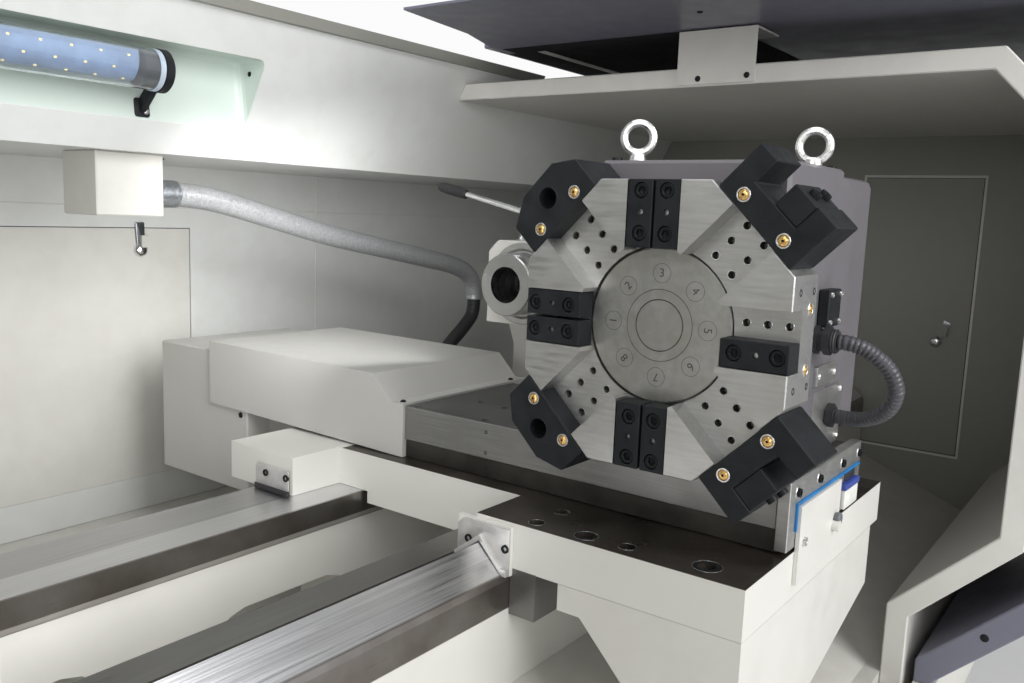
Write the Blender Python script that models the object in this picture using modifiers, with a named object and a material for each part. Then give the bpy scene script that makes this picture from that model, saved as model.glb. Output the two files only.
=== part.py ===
"""CNC turning lathe with an eight-station tool turret, modelled in metres.

X runs along the bed from the headstock to the tailstock, Y from the operator's side to the
rear, and Z up. Every shape below is measured from the centre of the turret's front face;
ORIGIN then puts the middle of the machine's footprint on the floor at zero.
"""
import math

import bmesh
import bpy
from mathutils import Matrix, Vector

# Place of the turret's front face in the finished object
CENTRE_HEIGHT = 1.150
FACE_X = 0.010
FACE_Y = -0.4195
ORIGIN = Vector((FACE_X, FACE_Y, CENTRE_HEIGHT))
FLOOR = -CENTRE_HEIGHT

# Clearances
SEAT = 0.0003
SLIDING = 0.0004
RUNNING = 0.0005

# Turret
DISC_FLATS = 0.320
DISC_THICK = 0.070
SLOT_WIDTH = 0.064
SLOT_DEPTH = 0.030
HUB_RECESS_R = 0.0895
HUB_RECESS_DEPTH = 0.045
HUB_R = 0.087
HUB_FACE = 0.031
DISC_NECK_R = 0.098
HOUSING_FACE = 0.084
TAP_R = 0.0043
TAP_DEPTH = 0.016
TAP_OFFSET = 0.0138
TAP_RADII = (0.102, 0.125, 0.148)
BLOCK_IN = 0.0862
BLOCK_OUT = 0.160
BLOCK_NEAR = 0.0015
BLOCK_FAR = 0.0312
COUNTERBORE_R = 0.009
COUNTERBORE_DEPTH = 0.010
HOLDER_SEAT = DISC_FLATS / 2 + SEAT
HOLDER_TOP = 0.2205
HOLDER_HALF = 0.057
POCKET_FLOOR = 0.1905
BORE_R = 0.0127
BORE_CENTRE = 0.1935
BORING_LENGTH = 0.075

# Slide and carriage
SLIDE_X = (0.090, 0.357)
SLIDE_FRONT = -0.1297
SLIDE_REAR = 0.440
SLIDE_TOP = -0.171
GIB_TOP = -0.222
HOOD_X = (0.086, 0.400)
HOOD_REAR = 0.918
HOOD_SHEET = 0.003
MOTOR_GAP = 0.003
MOTOR_COVER_Y = (0.819, 1.078)
SADDLE_TOP = -0.250
SADDLE_X = (-0.028, 0.480)
SADDLE_FRONT = -0.145
BRIDGE_X = (0.064, 0.388)
WING_FRONT = 0.203
WING_REAR = 0.552
WING_STEP = 0.004
SADDLE_REAR = 0.698

# Bed
WAY_TOP = -0.308
V_APEX = (0.188, -0.281)
BED_FRONT = 0.150
BED_REAR = 0.631
BED_BOTTOM = -0.640
LEFT_END = -1.560
BED_X = (LEFT_END + 0.160, 1.490)
CHANNEL = (0.285, 0.520)
CHANNEL_FLOOR = -0.580
WINDOW_PITCH = (BED_X[1] - BED_X[0] - 0.490) / 6
WINDOW_MIDDLE = (BED_X[0] + BED_X[1]) / 2 - 0.109
WINDOW_HALF = 0.124
WINDOW_TOP = -0.433
WINDOW_BOTTOM = -0.535

# Main spindle and tailstock
AXIS_Y = 0.435
SPINDLE_BORE = 0.038
SPINDLE_R = 0.060
CHUCK_R = 0.157
CHUCK_X = (-0.7517, -0.650)
JAW_REACH = 0.040
JAW_HALF = 0.0147
QUILL_R = 0.052
QUILL_NOSE = 0.320
QUILL_BORE = 0.0305
QUILL_TAIL = 0.780
QUILL_BACK = 0.0515
TAPER_DEEP = 0.160
BARREL_HALF = 0.082
BARREL_HIGH = 0.072
TAIL_X = (0.500, QUILL_TAIL + 0.100)

# Guards
LEFT_WALL = -0.810
CHIP_GAP = 0.030
RIGHT_COVER = 0.550
RIGHT_END = 1.500
BASE_END = 1.540
SHEET = 0.005
WALL = 0.004
DOOR_GAP = 0.002
HINGE_GAP = 0.0004
REAR_DOOR_X = (-0.294, 0.270)
REAR_DOOR_Z = (-0.462, 0.062)
END_DOOR_Y = (-0.074, 0.194)
END_DOOR_Z = (-0.430, 0.242)
REAR_IN = 1.250
REAR_OUT = 1.256
COVER_FACE = -0.330
COVER_INNER = -0.297
COVER_LOW = -0.188
COVER_LOW_IN = -0.155
COVER_TOP = 0.371
COVER_UNDER = 0.340
BOX_TOP = 0.414
BOX_UNDER = 0.190
BOX_LIP = 0.704
BOX_FOOT = 0.826
NICHE_X = (-0.720, 0.075)
NICHE_DOWN = (0.0791, 0.2028)
NICHE_DEEPEST = (0.1093, 0.0668)
LAMP_R = 0.0285
LAMP_X = (-0.690, -0.100)
LAMP_DOWN, LAMP_PROUD = 0.1204, 0.0132
LAMP_FOOT_UP = 0.0165
DOOR_LENGTH = 0.700
DOOR_OPEN_RIGHT = 0.560
DOOR_OPEN_LEFT = LEFT_END + 0.015
DOOR_FACE = -0.372
DOOR_INNER = -0.342
DOOR_ROOF = 0.469
DOOR_ROOF_IN = 0.439
DOOR_ROOF_REAR = 0.690
DOOR_BOTTOM = -0.575
LAP_REACH = 0.347
LAP_FRONT = -0.247
LAP_Z = (0.4325, 0.4365)
DUCT_R = 0.0205
HANDLE_OUT = -0.417
HANDLE_R = 0.009

COLOURS = {
    "warm_white": ((0.78, 0.77, 0.73), 0.45, 0.0),
    "door_grey": ((0.20, 0.20, 0.26), 0.45, 0.0),
    "mauve_grey": ((0.23, 0.22, 0.25), 0.45, 0.0),
    "dark_iron": ((0.09, 0.075, 0.065), 0.45, 0.7),
    "ground_steel": ((0.52, 0.52, 0.53), 0.28, 1.0),
    "satin_steel": ((0.42, 0.42, 0.42), 0.38, 1.0),
    "black_oxide": ((0.035, 0.037, 0.04), 0.42, 0.5),
    "bright_zinc": ((0.62, 0.62, 0.63), 0.30, 1.0),
    "zinc_sheet": ((0.50, 0.52, 0.53), 0.42, 0.8),
    "black_rubber": ((0.03, 0.03, 0.032), 0.6, 0.0),
    "clear_glass": ((0.65, 0.72, 0.74), 0.08, 0.0),
    "lamp_tube": ((0.72, 0.80, 0.83), 0.15, 0.0),
    "panel_grey": ((0.30, 0.31, 0.33), 0.5, 0.0),
    "chrome": ((0.75, 0.75, 0.76), 0.12, 1.0),
}

TURNS = {
    "X": Matrix(((0, 0, 1), (1, 0, 0), (0, 1, 0))).to_4x4(),
    "Y": Matrix(((1, 0, 0), (0, 0, -1), (0, 1, 0))).to_4x4(),
    "Z": Matrix.Identity(4),
}


def clear_scene():
    for thing in list(bpy.data.objects):
        bpy.data.objects.remove(thing, do_unlink=True)


def make_collection(name):
    group = bpy.data.collections.new(name)
    bpy.context.scene.collection.children.link(group)
    return group


def paint(name):
    material = bpy.data.materials.get(name)
    if material is None:
        colour, roughness, metallic = COLOURS[name]
        material = bpy.data.materials.new(name)
        material.use_nodes = True
        shader = material.node_tree.nodes["Principled BSDF"]
        shader.inputs["Base Color"].default_value = (*colour, 1.0)
        shader.inputs["Roughness"].default_value = roughness
        shader.inputs["Metallic"].default_value = metallic
        material.diffuse_color = (*colour, 1.0)
        material.roughness = roughness
        material.metallic = metallic
    return material


def link(name, mesh, colour, pivot):
    """Put a mesh in the scene, as a part if it has a colour and as a cutter if not."""
    thing = bpy.data.objects.new(name, mesh)
    thing.location = ORIGIN + Vector(pivot)
    if colour is None:
        CUTTERS.objects.link(thing)
        thing.hide_render = True
        thing.display_type = "WIRE"
    else:
        PARTS.objects.link(thing)
        own = paint(colour).copy()
        own.name = "mat_" + name
        mesh.materials.append(own)
    return thing


def tidy_mesh(mesh, smooth=False):
    work = bmesh.new()
    work.from_mesh(mesh)
    bmesh.ops.remove_doubles(work, verts=work.verts, dist=0.00001)
    bmesh.ops.recalc_face_normals(work, faces=work.faces)
    for face in work.faces:
        face.smooth = smooth
    work.to_mesh(mesh)
    work.free()


def box(name, low, high, colour=None, pivot=(0, 0, 0)):
    """Block between two corners."""
    mesh = bpy.data.meshes.new(name)
    work = bmesh.new()
    bmesh.ops.create_cube(work, size=1.0)
    size = [b - a for a, b in zip(low, high)]
    centre = [(a + b) / 2 - p for a, b, p in zip(low, high, pivot)]
    bmesh.ops.scale(work, vec=size, verts=work.verts)
    bmesh.ops.translate(work, vec=centre, verts=work.verts)
    work.to_mesh(mesh)
    work.free()
    return link(name, mesh, colour, pivot)


def rods(name, items, colour=None, pivot=(0, 0, 0), segments=16, smooth=True):
    """One or more cylinders in one mesh, each (start, end, radius)."""
    mesh = bpy.data.meshes.new(name)
    work = bmesh.new()
    for start, end, radius in items:
        start, end = Vector(start), Vector(end)
        along = end - start
        turn = along.to_track_quat("Z", "Y").to_matrix().to_4x4()
        place = Matrix.Translation((start + end) / 2 - Vector(pivot)) @ turn
        bmesh.ops.create_cone(work, cap_ends=True, segments=segments, radius1=radius,
                              radius2=radius, depth=along.length, matrix=place)
    for face in work.faces:
        face.smooth = smooth and len(face.verts) == 4
    work.to_mesh(mesh)
    work.free()
    return link(name, mesh, colour, pivot)


def whole_caps(mesh):
    """Make each flat end of an outline one face, so that points in line stay joined."""
    work = bmesh.new()
    work.from_mesh(mesh)
    bmesh.ops.remove_doubles(work, verts=work.verts, dist=0.00001)
    work.normal_update()
    caps = [f for f in work.faces if abs(f.normal.z) > 0.5 or f.calc_area() < 1e-11]
    bmesh.ops.delete(work, geom=caps, context="FACES_ONLY")
    loose = [e for e in work.edges if not e.link_faces]
    bmesh.ops.delete(work, geom=loose, context="EDGES")
    rim = [e for e in work.edges if len(e.link_faces) == 1]
    bmesh.ops.holes_fill(work, edges=rim, sides=0)
    work.to_mesh(mesh)
    work.free()


def curve_to_mesh(name, curve, place, smooth=False):
    carrier = bpy.data.objects.new(name, curve)
    bpy.context.scene.collection.objects.link(carrier)
    bpy.context.view_layer.update()
    ready = carrier.evaluated_get(bpy.context.evaluated_depsgraph_get())
    mesh = bpy.data.meshes.new_from_object(ready)
    mesh.name = name
    mesh.materials.clear()
    if curve.dimensions == "2D" and len(curve.splines) == 1:
        whole_caps(mesh)
    mesh.transform(place)
    bpy.data.objects.remove(carrier, do_unlink=True)
    tidy_mesh(mesh, smooth)
    return mesh


def prism(name, outline, axis, low, high, colour=None, pivot=(0, 0, 0), holes=()):
    """Flat outline with thickness: (y, z) along X, (x, z) along Y or (x, y) along Z."""
    curve = bpy.data.curves.new(name, "CURVE")
    curve.dimensions = "2D"
    curve.fill_mode = "BOTH"
    curve.extrude = (high - low) / 2
    for ring in (outline, *holes):
        spline = curve.splines.new("POLY")
        spline.points.add(len(ring) - 1)
        for point, (a, b) in zip(spline.points, ring):
            point.co = (a, b, 0.0, 1.0)
        spline.use_cyclic_u = True
    middle = Vector((0, 0, 0))
    middle["XYZ".index(axis)] = (low + high) / 2
    place = Matrix.Translation(middle - Vector(pivot)) @ TURNS[axis]
    return link(name, curve_to_mesh(name, curve, place), colour, pivot)


def tube(name, route, radius, colour, sides=3):
    """Round tube along a list of points, with filled ends."""
    curve = bpy.data.curves.new(name, "CURVE")
    curve.dimensions = "3D"
    curve.bevel_depth = radius
    curve.bevel_resolution = sides
    curve.use_fill_caps = True
    spline = curve.splines.new("POLY")
    spline.points.add(len(route) - 1)
    for point, place in zip(spline.points, route):
        point.co = (*place, 1.0)
    return link(name, curve_to_mesh(name, curve, Matrix.Identity(4), True), colour, (0, 0, 0))


def turned(name, profile, colour, pivot, closed=False, steps=48):
    """Profile of (radius, distance along X) spun round the X axis through the pivot."""
    mesh = bpy.data.meshes.new(name)
    verts = [(r, 0.0, x) for r, x in profile]
    edges = [(i, i + 1) for i in range(len(verts) - 1)]
    if closed:
        edges.append((len(verts) - 1, 0))
    mesh.from_pydata(verts, edges, [])
    thing = link(name, mesh, colour, pivot)
    thing.rotation_euler = (0.0, math.pi / 2, 0.0)
    spin = thing.modifiers.new("spin", "SCREW")
    spin.axis = "Z"
    spin.steps = steps
    spin.render_steps = steps
    spin.use_merge_vertices = True
    spin.merge_threshold = 0.00001
    spin.use_smooth_shade = False
    return thing


def combine(target, tool, how="DIFFERENCE"):
    step = target.modifiers.new(tool.name, "BOOLEAN")
    step.operation = how
    step.solver = "EXACT"
    step.object = tool
    return target


def soften(target, width, segments=1, angle=40.0):
    edge = target.modifiers.new("edges", "BEVEL")
    edge.width = width
    edge.segments = segments
    edge.limit_method = "ANGLE"
    edge.angle_limit = math.radians(angle)
    return target


def smooth_route(points, count):
    """Points read from a smooth curve through the route's own points, with straight ends."""
    pts = [Vector(p) for p in points]
    spans = len(pts) - 3
    route = [pts[0]]
    for k in range(count + 1):
        u = k / count * spans
        i = min(int(u), spans - 1)
        t = u - i
        a, b, c, d = pts[i:i + 4]
        route.append(0.5 * (2 * b + (c - a) * t + (2 * a - 5 * b + 4 * c - d) * t ** 2
                            + (3 * b - a - 3 * c + d) * t ** 3))
    return [*route, pts[-1]]


def station(angle):
    """Unit vectors (y, z) outwards from the turret's centre and along the flat."""
    out = (math.cos(angle), math.sin(angle))
    along = (-out[1], out[0])
    if along[0] < 0 or (abs(along[0]) < 0.001 and along[1] < 0):
        along = (-along[0], -along[1])
    return out, along


# Angles in the Y-Z plane, from +Y towards +Z
REAR, REAR_UP, UP, FRONT_UP = 0.0, math.pi / 4, math.pi / 2, 3 * math.pi / 4
FRONT, FRONT_DOWN, DOWN, REAR_DOWN = math.pi, 5 * math.pi / 4, 3 * math.pi / 2, 7 * math.pi / 4


def at(angle, r, t):
    out, along = station(angle)
    return (out[0] * r + along[0] * t, out[1] * r + along[1] * t)


def on_flat(angle, outline):
    return [at(angle, r, t) for t, r in outline]


def on_slope(down, deep):
    """Place (y, z) on the rear box's sloping face, down from its lip and into the box."""
    length = math.hypot(BOX_FOOT - BOX_LIP, BOX_TOP - BOX_UNDER)
    along = ((BOX_FOOT - BOX_LIP) / length, (BOX_UNDER - BOX_TOP) / length)
    return (BOX_LIP + along[0] * down - along[1] * deep, BOX_TOP + along[1] * down + along[0] * deep)


def beyond(start, end, extra):
    """Point past the end of a line in a section."""
    share = 1 + extra / math.dist(start, end)
    return (start[0] + (end[0] - start[0]) * share, start[1] + (end[1] - start[1]) * share)


def make_base():
    outline = [
        (-0.100, FLOOR), (-0.100, FLOOR + 0.090), (-0.1547, FLOOR + 0.090), (-0.1547, -0.700),
        (-0.232, -0.700), (-0.232, DOOR_BOTTOM - SLIDING), (-0.202, DOOR_BOTTOM - SLIDING),
        (-0.202, -0.645), (-0.1547, -0.645), (-0.1547, -0.572), (-0.130, -0.572),
        (BED_FRONT - SEAT, -0.462), (BED_FRONT - SEAT, BED_BOTTOM - SEAT),
        (BED_REAR + SEAT, BED_BOTTOM - SEAT), (BED_REAR + SEAT, -0.600),
        (REAR_OUT, -0.532), (REAR_OUT, FLOOR),
    ]
    prism("base", outline, "X", LEFT_END, BASE_END, "warm_white")


def make_bed():
    y, z = V_APEX
    outline = [
        (BED_FRONT, BED_BOTTOM), (BED_FRONT, -0.322), (0.153, -0.315), (y, z), (0.226, -0.310),
        (0.229, -0.318), (0.235, -0.318), (0.236, WAY_TOP), (CHANNEL[0], WAY_TOP),
        (CHANNEL[0], CHANNEL_FLOOR), (CHANNEL[1], CHANNEL_FLOOR), (CHANNEL[1], -0.358),
        (0.497, -0.340), (0.497, WAY_TOP), (BED_REAR, WAY_TOP), (BED_REAR, BED_BOTTOM),
    ]
    bed = prism("bed", outline, "X", *BED_X, "ground_steel")
    for k in range(-3, 4):
        x = WINDOW_MIDDLE + k * WINDOW_PITCH
        r = (WINDOW_TOP - WINDOW_BOTTOM) / 2
        mid = (WINDOW_TOP + WINDOW_BOTTOM) / 2
        ends = []
        for side, start in ((1, -90), (-1, 90)):
            for step in range(7):
                a = math.radians(start + step * 30)
                ends.append((x + side * (WINDOW_HALF - r) + r * math.cos(a), mid + r * math.sin(a)))
        combine(bed, prism("chip_window_%d" % (k + 4), ends, "Y", 0.500, 0.650))


def make_headstock():
    outline = [
        (0.237, WAY_TOP + SEAT), (0.237, -0.272), (0.215, -0.250), (0.215, 0.225), (0.250, 0.262),
        (0.620, 0.262), (0.655, 0.225), (0.655, -0.250), (0.630, -0.275),
        (0.630, WAY_TOP + SEAT),
    ]
    body = prism("headstock", outline, "X", BED_X[0], LEFT_WALL - 0.012, "warm_white")
    soften(body, 0.004)
    bore = rods("headstock_bore", [((-1.45, AXIS_Y, 0), (-0.75, AXIS_Y, 0), SPINDLE_R + RUNNING)],
                segments=64)
    combine(body, bore)


def make_spindle():
    pivot = (0, AXIS_Y, 0)
    profile = [
        (SPINDLE_BORE, -0.752), (0.105, -0.752), (0.105, -0.785), (SPINDLE_R, -0.785),
        (SPINDLE_R, BED_X[0] - 0.010), (0.110, BED_X[0] - 0.010), (0.110, BED_X[0] - 0.070),
        (SPINDLE_BORE, BED_X[0] - 0.070),
    ]
    turned("spindle", profile, "satin_steel", pivot, closed=True, steps=64)
    body = turned("chuck_body", [
        (0.046, CHUCK_X[1]), (CHUCK_R - 0.003, CHUCK_X[1]), (CHUCK_R, CHUCK_X[1] - 0.003),
        (CHUCK_R, CHUCK_X[0] + 0.003), (CHUCK_R - 0.003, CHUCK_X[0]), (0.046, CHUCK_X[0]),
    ], "satin_steel", pivot, closed=True, steps=64)
    for k, angle in enumerate((90, 210, 330), 1):
        a = math.radians(angle)
        out = (math.cos(a), math.sin(a))
        side = (-out[1], out[0])

        def spot(r, t):
            return (AXIS_Y + out[0] * r + side[0] * t, out[1] * r + side[1] * t)

        groove = [spot(0.020, -0.015), spot(0.180, -0.015), spot(0.180, 0.015), spot(0.020, 0.015)]
        combine(body, prism("jaw_groove_%d" % k, groove, "X", CHUCK_X[1] - 0.020, CHUCK_X[1] + 0.02))
        floor = CHUCK_X[1] - 0.020 + SLIDING
        face = CHUCK_X[1]
        foot = [spot(0.066, -JAW_HALF), spot(0.148, -JAW_HALF),
                spot(0.148, JAW_HALF), spot(0.066, JAW_HALF)]
        jaw = prism("jaw_%d" % k, foot, "X", floor, face + JAW_REACH, "black_oxide", pivot)
        for n, (r, low) in enumerate(((0.092, 0.028), (0.120, 0.016)), 1):
            step = [spot(r, -0.03), spot(0.2, -0.03), spot(0.2, 0.03), spot(r, 0.03)]
            combine(jaw, prism("jaw_step_%d_%d" % (k, n), step, "X", face + low,
                               face + JAW_REACH + 0.01))


def section_outline():
    """Outer section of the guards, closed below along the base."""
    return [
        (COVER_LOW, -0.640), (COVER_LOW, -0.472), (COVER_FACE, -0.330), (COVER_FACE, 0.270),
        (-0.236, COVER_TOP), (BOX_LIP - SEAT, COVER_TOP), (BOX_LIP - SEAT, BOX_TOP),
        (REAR_OUT, BOX_TOP), (REAR_OUT, -0.532 + SEAT), (BED_REAR, -0.600 + SEAT),
        (BED_REAR, -0.640), (BED_FRONT, -0.640),
        (BED_FRONT, -0.462 + SEAT), (-0.130, -0.572 + SEAT),
        (COVER_LOW_IN, -0.572 + SEAT), (COVER_LOW_IN, -0.640),
    ]


def make_guards():
    shell_end = LEFT_WALL - SHEET - SEAT
    left = prism("left_guard", section_outline(), "X", LEFT_END, shell_end, "warm_white")
    hollow = [
        (COVER_LOW + SHEET, -0.700), (COVER_LOW + SHEET, -0.470), (COVER_FACE + SHEET, -0.328),
        (COVER_FACE + SHEET, 0.268), (-0.234, COVER_TOP - SHEET),
        (BOX_LIP + SHEET, COVER_TOP - SHEET), (BOX_LIP + SHEET, BOX_TOP - SHEET),
        (REAR_OUT - SHEET, BOX_TOP - SHEET), (REAR_OUT - SHEET, -0.700),
    ]
    combine(left, prism("left_hollow", hollow, "X", LEFT_END + SHEET, shell_end + 0.010))
    wall = prism("left_wall", section_outline(), "X", LEFT_WALL - SHEET, LEFT_WALL, "warm_white")
    combine(wall, box("bed_gap", (LEFT_WALL - 0.010, BED_FRONT - 0.002, -0.720),
                      (LEFT_WALL + 0.010, BED_REAR + 0.002, -0.274)))
    combine(wall, box("chip_gap", (LEFT_WALL - 0.010, BED_REAR - 0.010, -0.720),
                      (LEFT_WALL + 0.010, BED_REAR + CHIP_GAP, WINDOW_TOP + 0.010)))
    combine(wall, rods("spindle_gap", [((LEFT_WALL - 0.011, AXIS_Y, 0),
                                        (LEFT_WALL + 0.011, AXIS_Y, 0), 0.078)], segments=48))

    rear = prism("rear_guard", [
        (BOX_LIP, BOX_TOP), (BOX_FOOT, BOX_UNDER), (REAR_IN, BOX_UNDER),
        (REAR_IN, -0.532 + 2 * SEAT), (REAR_OUT, -0.532 + 2 * SEAT), (REAR_OUT, BOX_TOP),
    ], "X", LEFT_WALL + SEAT, RIGHT_END, "warm_white")
    deepest = on_slope(*NICHE_DEEPEST)
    niche = [deepest, beyond(deepest, on_slope(NICHE_DOWN[0], 0), 0.050),
             beyond(deepest, on_slope(NICHE_DOWN[1], 0), 0.070)]
    recess = prism("lamp_niche", niche, "X", *NICHE_X)
    combine(rear, soften(recess, 0.012, 3))
    combine(rear, box("rear_door_gap", (REAR_DOOR_X[0], REAR_IN - 0.01, REAR_DOOR_Z[0]),
                      (REAR_DOOR_X[1], REAR_OUT + 0.01, REAR_DOOR_Z[1])))

    slope = (BOX_FOOT - BOX_LIP) / (BOX_TOP - BOX_UNDER)
    right = prism("right_guard", [
        (BOX_LIP + slope * (BOX_TOP - COVER_TOP) - SEAT, COVER_TOP), (-0.236, COVER_TOP),
        (COVER_FACE, 0.270), (COVER_FACE, -0.330), (COVER_LOW, -0.472), (COVER_LOW, -0.640),
        (COVER_LOW_IN, -0.640), (COVER_LOW_IN, -0.458), (COVER_INNER, -0.317),
        (COVER_INNER, 0.262), (-0.224, COVER_UNDER),
        (BOX_LIP + slope * (BOX_TOP - COVER_UNDER) - SEAT, COVER_UNDER),
    ], "X", RIGHT_COVER, RIGHT_END, "warm_white")
    soften(right, 0.002)
    wall = prism("right_end_wall", section_outline(), "X", RIGHT_END + SEAT,
                 RIGHT_END + SEAT + WALL, "mauve_grey")
    combine(wall, box("right_door_gap", (RIGHT_END - 0.010, END_DOOR_Y[0], END_DOOR_Z[0]),
                      (RIGHT_END + 0.020, END_DOOR_Y[1], END_DOOR_Z[1])))
    bracket = [
        (RIGHT_COVER - 0.0033, 0.343), (RIGHT_COVER - SEAT, 0.343), (RIGHT_COVER - SEAT, 0.427),
        (0.640, 0.427), (0.640, 0.430), (RIGHT_COVER - 0.0033, 0.430),
    ]
    prism("door_rail_bracket", bracket, "Y", 0.121, 0.258, "warm_white")


def make_access_doors():
    hinge = (0.0, REAR_OUT + 0.004, REAR_DOOR_Z[0] - 0.004)
    leaf = box("rear_access_door",
               (REAR_DOOR_X[0] + DOOR_GAP, REAR_IN + 0.0005, REAR_DOOR_Z[0] + HINGE_GAP),
               (REAR_DOOR_X[1] - DOOR_GAP, REAR_OUT, REAR_DOOR_Z[1] - DOOR_GAP),
               "warm_white", hinge)
    x, z = REAR_DOOR_X[1] - 0.109, REAR_DOOR_Z[1] - 0.028
    combine(leaf, box("rear_latch", (x - 0.009, REAR_IN - 0.012, z - 0.012),
                      (x + 0.009, REAR_IN + 0.002, z + 0.012)), "UNION")
    hinge = (RIGHT_END + SEAT + WALL + 0.004, END_DOOR_Y[1] + 0.004, 0.0)
    leaf = box("right_access_door",
               (RIGHT_END + 0.0008, END_DOOR_Y[0] + DOOR_GAP, END_DOOR_Z[0] + DOOR_GAP),
               (RIGHT_END + SEAT + WALL, END_DOOR_Y[1] - HINGE_GAP, END_DOOR_Z[1] - DOOR_GAP),
               "mauve_grey", hinge)
    y = END_DOOR_Y[0] + 0.057
    combine(leaf, box("right_latch", (RIGHT_END - 0.012, y - 0.011, -0.138),
                      (RIGHT_END + 0.002, y + 0.011, -0.108)), "UNION")


def make_doors():
    outline = [
        (DOOR_ROOF_REAR, DOOR_ROOF), (-0.262, DOOR_ROOF), (DOOR_FACE, 0.320), (DOOR_FACE, -0.4255),
        (-0.230, -0.5675), (-0.230, DOOR_BOTTOM), (-0.202, DOOR_BOTTOM), (-0.202, -0.5385),
        (DOOR_INNER, -0.401), (DOOR_INNER, 0.310), (-0.248, DOOR_ROOF_IN),
        (DOOR_ROOF_REAR, DOOR_ROOF_IN),
    ]
    for side, start, grip in (("right", DOOR_OPEN_RIGHT, 0.045),
                              ("left", DOOR_OPEN_LEFT, DOOR_LENGTH - 0.045)):
        end = start + DOOR_LENGTH
        door = prism(side + "_door", outline, "X", start, end, "door_grey")
        soften(door, 0.002)
        if side == "right":
            lap = [(start - LAP_REACH, LAP_FRONT), (start + 0.040, LAP_FRONT), (start + 0.040, 0.660),
                   (start - 0.029, 0.648), (start - 0.154, 0.604), (start - LAP_REACH, 0.577)]
            combine(door, prism("roof_lap", lap, "Z", *LAP_Z), "UNION")
            combine(door, box("lap_joint", (start + 0.0005, -0.240, LAP_Z[0] + 0.001),
                              (start + 0.038, 0.640, DOOR_ROOF_IN + 0.003)), "UNION")
        low = (start + 0.090, DOOR_FACE - 0.01, -0.170)
        high = (end - 0.070, DOOR_INNER + 0.01, 0.250)
        combine(door, box(side + "_window_gap", low, high))
        box(side + "_window", (low[0] + SEAT, DOOR_FACE + 0.010, low[2] + SEAT),
            (high[0] - SEAT, DOOR_FACE + 0.018, high[2] - SEAT), "clear_glass")
        x = start + grip
        y = HANDLE_OUT + HANDLE_R
        bar = rods(side + "_grip", [((x, y, -0.150), (x, y, 0.150), HANDLE_R)], segments=12)
        combine(door, bar, "UNION")
        for n, z in enumerate((-0.125, 0.125)):
            post = rods("%s_post_%d" % (side, n), [((x, y, z), (x, DOOR_FACE + 0.003, z), 0.0068)],
                        segments=10)
            combine(door, post, "UNION")


def make_fittings():
    middle = Vector(on_slope(LAMP_DOWN, -LAMP_PROUD))
    lamp = rods("lamp", [((LAMP_X[0], *middle), (LAMP_X[1], *middle), LAMP_R)], "lamp_tube",
                segments=24)
    lip, deepest = Vector(on_slope(NICHE_DOWN[1], 0)), Vector(on_slope(*NICHE_DEEPEST))
    up = (deepest - lip).normalized()
    tip = lip + up * LAMP_FOOT_UP + Vector((-up.y, up.x)) * SEAT
    way = (tip - middle).normalized()
    side = Vector((-way.y, way.x)) * 0.010
    foot = [middle + way * 0.016 + side, middle + way * 0.016 - side, tip - up * 0.012, tip + up * 0.012]
    for n, x in enumerate((LAMP_X[0] + 0.050, LAMP_X[1] - 0.030)):
        combine(lamp, prism("lamp_foot_%d" % n, foot, "X", x - 0.012, x + 0.012), "UNION")

    junction = box("junction_box", (-0.147, 0.860, 0.092), (-0.035, 0.960, BOX_UNDER - SEAT),
                   "warm_white")
    soften(junction, 0.002)
    tube("cable_duct", smooth_route([
        (-0.035 + SEAT, 0.904, 0.129), (0.002, 0.904, 0.129), (0.050, 0.904, 0.1265),
        (0.108, 0.904, 0.118), (0.230, 0.904, 0.090), (0.352, 0.904, 0.062), (0.500, 0.904, 0.036),
        (0.650, 0.904, 0.010), (0.725, 0.904, -0.004), (0.780, 0.904, -0.022), (0.808, 0.904, -0.048),
        (0.818, 0.904, -0.078), (0.818, 0.904, -0.090),
    ], 40), DUCT_R, "zinc_sheet", 5)
    tube("cable_hose", smooth_route([
        (0.818, 0.904, -0.0903), (0.818, 0.904, -0.104), (0.810, 0.904, -0.130), (0.775, 0.903, -0.160),
        (0.715, 0.902, -0.205), (0.668, 0.900, -0.270), (0.640, 0.900, -0.360),
        (0.628, 0.900, -0.460), (0.625, 0.900, -0.550), (0.625, 0.900, -0.5686),
    ], 36), 0.016, "black_rubber")

    prism("control_panel", [
        (COVER_FACE - SEAT, -0.130), (-0.398, -0.130), (-0.414, -0.060), (-0.380, 0.262),
        (COVER_FACE - SEAT, 0.262),
    ], "X", 1.275, 1.495, "panel_grey")


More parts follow.
